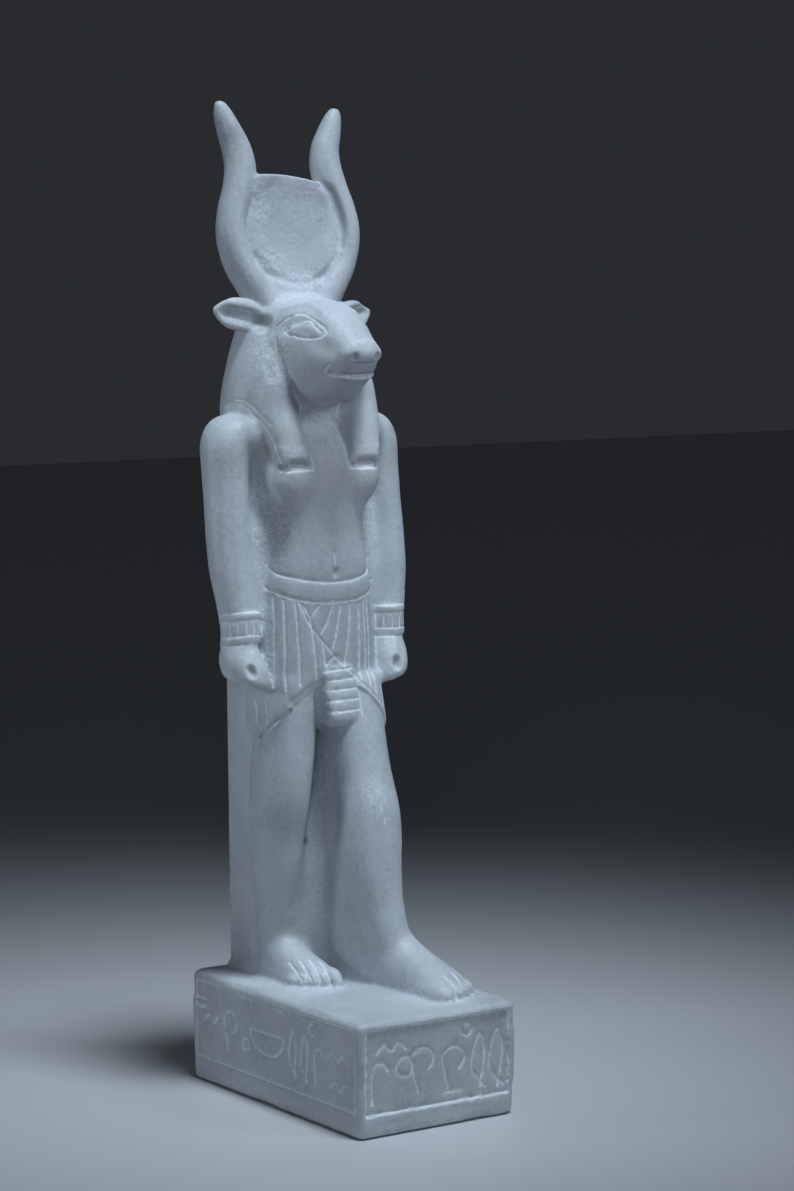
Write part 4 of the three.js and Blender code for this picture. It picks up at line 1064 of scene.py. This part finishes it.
# %% Places that were left rough
# A place: its middle, its half sizes, and how high the roughness is. It fades to nothing at its rim.
ROUGH = [
    ((-19, 17, 176), (4, 7, 26), 0.12), ((19, 17, 176), (4, 7, 26), 0.12),
    ((-16, 12, 170), (6, 7, 12), 0.12), ((-1, 22, 72), (5, 8, 40), 0.08), ((0, 12, 206), (9, 9, 11), 0.16),
    ((-15.4, 13, 224), (4, 7, 13), 0.16), ((15.4, 13, 224), (4, 7, 13), 0.16),
    ((-18, 17, 228), (5, 7, 10), 0.12), ((18, 17, 228), (5, 7, 10), 0.12),
    ((-8, 3, 35.6), (15, 13, 4), 0.16), ((13, -30, 35.6), (15, 16, 4), 0.16),
    ((-16, 22, 35.6), (12, 16, 4), 0.12), ((-12, 27, 272), (4.4, 4, 8), 0.2),
    ((-9, 26, 253), (7, 4, 6), 0.16), ((4, 25, 249), (12, 4, 5), 0.14),
    ((-19.4, 13.6, 138), (2.6, 5, 20), 0.16), ((0, 0, 2), (40, 60, 6), 0.2), ((7, -3, 92), (4, 4, 7), 0.03),
    ((0, 18, 242), (12, 8, 5), 0.08), ((-4, 10, 122), (4, 5, 8), 0.1), ((15, 26, 258), (4, 4, 9), 0.06),
    ((0, 16, 100), (6, 8, 14), 0.1), ((-19, 30, 236), (5, 9, 5), 0.1),
]


def roughness_of(points):
    """How rough the stone is at each point, in mm, and where."""
    height, share = np.zeros(len(points)), np.zeros(len(points))
    for centre, radii, high in ROUGH:
        part = np.clip(1 - (((points - centre) / radii) ** 2).sum(1), 0, 1)
        height, share = np.maximum(height, high * np.sqrt(part)), np.maximum(share, np.sqrt(part))
    return height, share


print("rough places:", len(ROUGH))

# %% Finer skin along the lines
points, facing = skin_of(stone)
close, _ = reach_of(lines, points, facing, margin=0.5)
touched = close > 0
corners = np.empty(len(stone.data.loops), int)
stone.data.loops.foreach_get("vertex_index", corners)
faces = touched[corners.reshape(-1, 4)].any(1)
stone.data.polygons.foreach_set("select", faces)
pick(stone)
bpy.ops.object.mode_set(mode="EDIT")
bpy.ops.mesh.select_mode(type="FACE")
bpy.ops.mesh.subdivide(number_cuts=1)
bpy.ops.object.mode_set(mode="OBJECT")
print("faces made finer:", int(faces.sum()), "faces now:", len(stone.data.polygons))

# %% How much the hand wavers
# Each of these is a share or a depth, and the size of a hump in mm.
DEPTH_WAVER, CHALK_WAVER, PANEL_WAVER = (0.5, 1.3), (0.4, 0.9), (0.3, 1.2)
COARSE_PECKS, FINE_PECKS = (0.6, 1.1), (0.7, 0.6)
BROAD_WAVER, NARROW_WAVER, TOP_WAVER = (0.05, 5), (0.02, 1.6), (0.25, 8)
# The fine pecks read the chance values at another place than the coarse ones.
FINE_PECKS_APART = 50
PECK_DEPTH, PECK_CHALK, PECK_SPREAD = 0.5, 0.5, 0.1
PANEL_SUNK, PANEL_EDGE, PANEL_FACES, PANEL_FRONT = 0.8, 0.35, -0.7, -44
TOP_SUNK, TOP_REACH = 0.15, 1.6
MEAN_CHALK = 0.8


def front_panel(points, facing):
    """How far inside the frame on the plinth's front each point is, from nothing to one."""
    x, y, z = points.T
    rim = (x - FRAME_FRONT["start"], FRAME_FRONT["end"] - x, z - FRAME_FRONT["low"], FRAME_FRONT["high"] - z)
    inside = np.minimum.reduce(rim) + waver(points, *PANEL_WAVER)
    on_front = (facing[:, 1] < PANEL_FACES) & (y < PANEL_FRONT)
    return np.clip(inside / PANEL_EDGE, 0, 1) * on_front


def plinth_top(points, facing):
    """One on the plinth's level top, falling to nothing where the skin turns away from it."""
    return (np.abs(points[:, 2] - PLINTH_TOP) < TOP_REACH) * np.clip(facing[:, 2], 0, 1)


# %% Cutting the lines and roughening
points, facing = skin_of(stone)
depth, chalk = reach_of(lines, points, facing)
depth *= 1 + waver(points, *DEPTH_WAVER)
chalk *= MEAN_CHALK + waver(points, *CHALK_WAVER)
height, share = roughness_of(points)
pecks = waver(points, *COARSE_PECKS) + waver(points + FINE_PECKS_APART, *FINE_PECKS)
chalk = np.maximum(chalk, PECK_CHALK * share * np.clip(PECK_SPREAD + pecks, 0, 1))
depth += PANEL_SUNK * front_panel(points, facing) + height * (PECK_DEPTH + pecks)
depth += waver(points, *BROAD_WAVER) + waver(points, *NARROW_WAVER)
depth += plinth_top(points, facing) * (TOP_SUNK + waver(points, *TOP_WAVER))
put_back(stone, points - facing * depth[:, None])
for name, values in (("chalk", chalk), ("rough", share)):
    stone.data.attributes.new(name, "FLOAT", "POINT").data.foreach_set("value", values)
print("deepest cut, mm:", round(float(depth.max()), 2))

# %% Fewer faces where the stone is plain
MOST_TRIANGLES = 195000
triangles = sum(len(face.vertices) - 2 for face in stone.data.polygons)
thin = stone.modifiers.new("thin", "DECIMATE")
thin.ratio = min(1, MOST_TRIANGLES / triangles)
bpy.ops.object.modifier_apply(modifier=thin.name)
kept = [name for name in ("chalk", "rough") if stone.data.attributes.get(name)]
print("triangles:", triangles, "to", len(stone.data.polygons), "values kept:", kept)

# %% [markdown]
# ## Alabaster
#
# The stone is pale and cool, a little cloudy, and light goes into it before it comes back. Cut lines and
# pecked places are bruised: whiter and duller than the rubbed surface. A few brown spots and faint warm
# clouds run through it.

# %% Colours of the stone
CLOUD_DARK, CLOUD_PALE, WARM_CLOUD = (0.41, 0.44, 0.468), (0.53, 0.56, 0.59), (0.45, 0.45, 0.43)
MOTTLE, SPECK, STAIN, BRUISED = (0.62, 0.65, 0.68), (0.34, 0.33, 0.32), (0.2, 0.17, 0.13), (0.84, 0.88, 0.92)
# A stain: its place in mm, how far it spreads, and how strong it is.
STAINS = [
    ((-4.6, 16.4, 76.9), 1.9, 0.9), ((-17.9, 31.5, 292), 3.6, 0.25), ((-16.4, 31.5, 288.6), 2.4, 0.2),
    ((15.5, 30, 283.7), 1.3, 0.35), ((-13, 24.5, 247), 4.6, 0.18), ((-19.4, 19, 110.4), 3, 0.12),
    ((-23.4, 22.6, 238.6), 2.4, 0.25),
]
print("stains:", len(STAINS))

# %% Stone material
def alabaster():
    """Cloudy stone that takes light in a little way, with the bruised white on what was cut or pecked."""
    material = bpy.data.materials.new("white alabaster")
    material.use_nodes = True
    nodes, links = material.node_tree.nodes, material.node_tree.links
    shader = nodes["Principled BSDF"]
    shader.inputs["Subsurface Weight"].default_value = 0.25
    shader.inputs["Subsurface Radius"].default_value = (1, 0.9, 0.8)
    shader.inputs["Subsurface Scale"].default_value = 0.003
    place = nodes.new("ShaderNodeTexCoord")

    def noise(scale, detail, distortion=0.0):
        """Cloudy values from 0 to 1. The scale is in clouds per metre."""
        node = nodes.new("ShaderNodeTexNoise")
        node.inputs["Scale"].default_value = scale
        node.inputs["Detail"].default_value = detail
        node.inputs["Distortion"].default_value = distortion
        links.new(place.outputs["Object"], node.inputs["Vector"])
        return node.outputs["Fac"]

    def spread(value, low, high, to_low=0.0, to_high=1.0):
        """The value drawn out, so that low becomes to_low and high becomes to_high."""
        node = nodes.new("ShaderNodeMapRange")
        for name, number in zip(("From Min", "From Max", "To Min", "To Max"), (low, high, to_low, to_high)):
            node.inputs[name].default_value = number
        links.new(value, node.inputs["Value"])
        return node.outputs["Result"]

    def blended(share, first, second):
        """A colour between two, where each is a plain colour or comes from another node."""
        node = nodes.new("ShaderNodeMix")
        node.data_type = "RGBA"
        links.new(share, node.inputs["Factor"])
        for socket, colour in ((node.inputs[6], first), (node.inputs[7], second)):
            if isinstance(colour, tuple):
                socket.default_value = (*colour, 1)
            else:
                links.new(colour, socket)
        return node.outputs[2]

    def near_to(spot, size):
        """One at a spot in the stone, falling to nothing at a distance."""
        node = nodes.new("ShaderNodeVectorMath")
        node.operation = "DISTANCE"
        links.new(place.outputs["Object"], node.inputs[0])
        node.inputs[1].default_value = [p * MM for p in spot]
        return spread(node.outputs["Value"], 0.4 * size * MM, size * MM, 1, 0)

    def carried(name):
        """A value that the skin carries from the carving."""
        node = nodes.new("ShaderNodeAttribute")
        node.attribute_name = name
        return node.outputs["Fac"]

    def counted(operation, first, second):
        """A sum, product or maximum of two values."""
        node = nodes.new("ShaderNodeMath")
        node.operation = operation
        for socket, value in zip(node.inputs, (first, second)):
            if isinstance(value, float):
                socket.default_value = value
            else:
                links.new(value, socket)
        return node.outputs[0]

    # White where the stone was cut, and in the grain of the rough places.
    rough = carried("rough")
    grain = spread(noise(1500, 5), 0.46, 0.62)
    white = counted("MAXIMUM", carried("chalk"), counted("MULTIPLY", counted("MULTIPLY", rough, grain), 0.6))
    # Clouds, broad warm patches, fine mottling, small dark specks, and the few stains.
    colour = blended(spread(noise(45, 5, 0.4), 0.35, 0.7), CLOUD_DARK, CLOUD_PALE)
    colour = blended(spread(noise(18, 4), 0.5, 0.7, 0, 0.6), colour, WARM_CLOUD)
    colour = blended(spread(noise(650, 4), 0.4, 0.7, 0, 0.35), colour, MOTTLE)
    colour = blended(spread(noise(420, 2), 0.68, 0.74, 0, 0.5), colour, SPECK)
    for spot, size, strength in STAINS:
        colour = blended(spread(near_to(spot, size), 0, 1, 0, strength), colour, STAIN)
    colour = blended(spread(white, 0, 1, 0, 0.85), colour, BRUISED)
    links.new(colour, shader.inputs["Base Color"])
    links.new(spread(white, 0, 1, 0.5, 0.85), shader.inputs["Roughness"])
    # The polish is fine-grained, and pitted where the stone is rough.
    fine = nodes.new("ShaderNodeBump")
    fine.inputs["Strength"].default_value = 0.45
    fine.inputs["Distance"].default_value = 0.0003
    pitted = counted("MULTIPLY", rough, noise(1700, 4))
    links.new(counted("ADD", noise(900, 6), pitted), fine.inputs["Height"])
    links.new(fine.outputs["Normal"], shader.inputs["Normal"])
    return material


# %% Stone on the statue
stone.data.materials.clear()
stone.data.materials.append(alabaster())
pick(stone)
bpy.ops.object.shade_smooth()
print("material:", stone.data.materials[0].name)

# %% [markdown]
# ## Camera, floor and light
#
# The camera looks from the figure's right front and slightly from above, through a long lens, so the
# statue hardly narrows with distance. It stands on a plain pale floor. A soft main light comes from above
# and in front, and three weaker ones fill the sides, as large soft lamps do in a studio.

# %% Camera
CAMERA_AT = (-0.533117, -0.817124, 0.250634)
TURN, PITCH, ROLL = np.radians((-34.029, 5.707, -0.503))
FOCAL_PIXELS, IMAGE_HEIGHT, SENSOR = 3258.8, 1191, 36

back = Vector((np.sin(TURN) * np.cos(PITCH), -np.cos(TURN) * np.cos(PITCH), np.sin(PITCH)))
level = (-back).cross(Vector((0, 0, 1))).normalized()
rise = level.cross(-back)
right = level * np.cos(ROLL) + rise * np.sin(ROLL)
up = rise * np.cos(ROLL) - level * np.sin(ROLL)
bpy.ops.object.camera_add(location=CAMERA_AT)
camera = bpy.context.object
camera.name = "camera"
camera.matrix_world = Matrix.Translation(CAMERA_AT) @ Matrix((right, up, back)).transposed().to_4x4()
camera.data.sensor_width = SENSOR
camera.data.lens = FOCAL_PIXELS / IMAGE_HEIGHT * SENSOR
camera.data.clip_start, camera.data.clip_end = 0.05, 20
bpy.context.scene.camera = camera
print("lens, mm:", round(camera.data.lens, 1))

# %% Floor
FLOOR_SIZE, FLOOR_COLOUR = 6, (0.55, 0.56, 0.57, 1)
bpy.ops.object.select_all(action="DESELECT")
bpy.ops.mesh.primitive_plane_add(size=FLOOR_SIZE, location=(0, 0, 0))
floor = bpy.context.object
floor.name = "floor"
pale = bpy.data.materials.new("pale floor")
pale.use_nodes = True
pale.node_tree.nodes["Principled BSDF"].inputs["Base Color"].default_value = FLOOR_COLOUR
floor.data.materials.append(pale)
print("floor, m:", FLOOR_SIZE)

# %% Lamps
COOL = (0.74, 0.87, 1)
# A lamp: its place and what it aims at in metres, its size, its power in watts, and its beam in degrees.
LAMPS = {
    "main light": ((0.02, -0.3, 1.25), (0, 0, 0.12), 0.3, 0.42, 30),
    "right light": ((0.45, -0.7, 0.6), (0, 0, 0.2), 0.3, 0.12, 34),
    "front light": ((-0.5, -0.7, 0.35), (0, 0, 0.2), 0.3, 0.06, 34),
    "left light": ((-0.8, 0.35, 0.3), (0, 0, 0.17), 0.2, 0.06, 28),
}
for name, (place, aim, size, power, beam) in LAMPS.items():
    bpy.ops.object.light_add(type="AREA", location=place)
    light = bpy.context.object
    light.name = name
    light.data.shape = "DISK"
    light.data.size = size
    light.data.energy = power
    light.data.spread = np.radians(beam)
    light.data.color = COOL
    light.rotation_euler = (Vector(aim) - Vector(place)).to_track_quat("-Z", "Y").to_euler()
print("lamps:", len(LAMPS))

# %% Light of the room
ROOM_COLOUR, ROOM_STRENGTH = (0.75, 0.82, 0.92, 1), 0.03
world = bpy.data.worlds.new("studio")
world.use_nodes = True
room = world.node_tree.nodes["Background"].inputs
room["Color"].default_value = ROOM_COLOUR
room["Strength"].default_value = ROOM_STRENGTH
bpy.context.scene.world = world
bpy.context.scene.view_settings.view_transform = "Standard"
print("room light:", ROOM_STRENGTH)

# %% [markdown]
# ## Riding on the frame
#
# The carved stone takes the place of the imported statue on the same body. The floor is only there for the
# picture.

# %% Riding on the frame
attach(stone, "root")
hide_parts("statue")
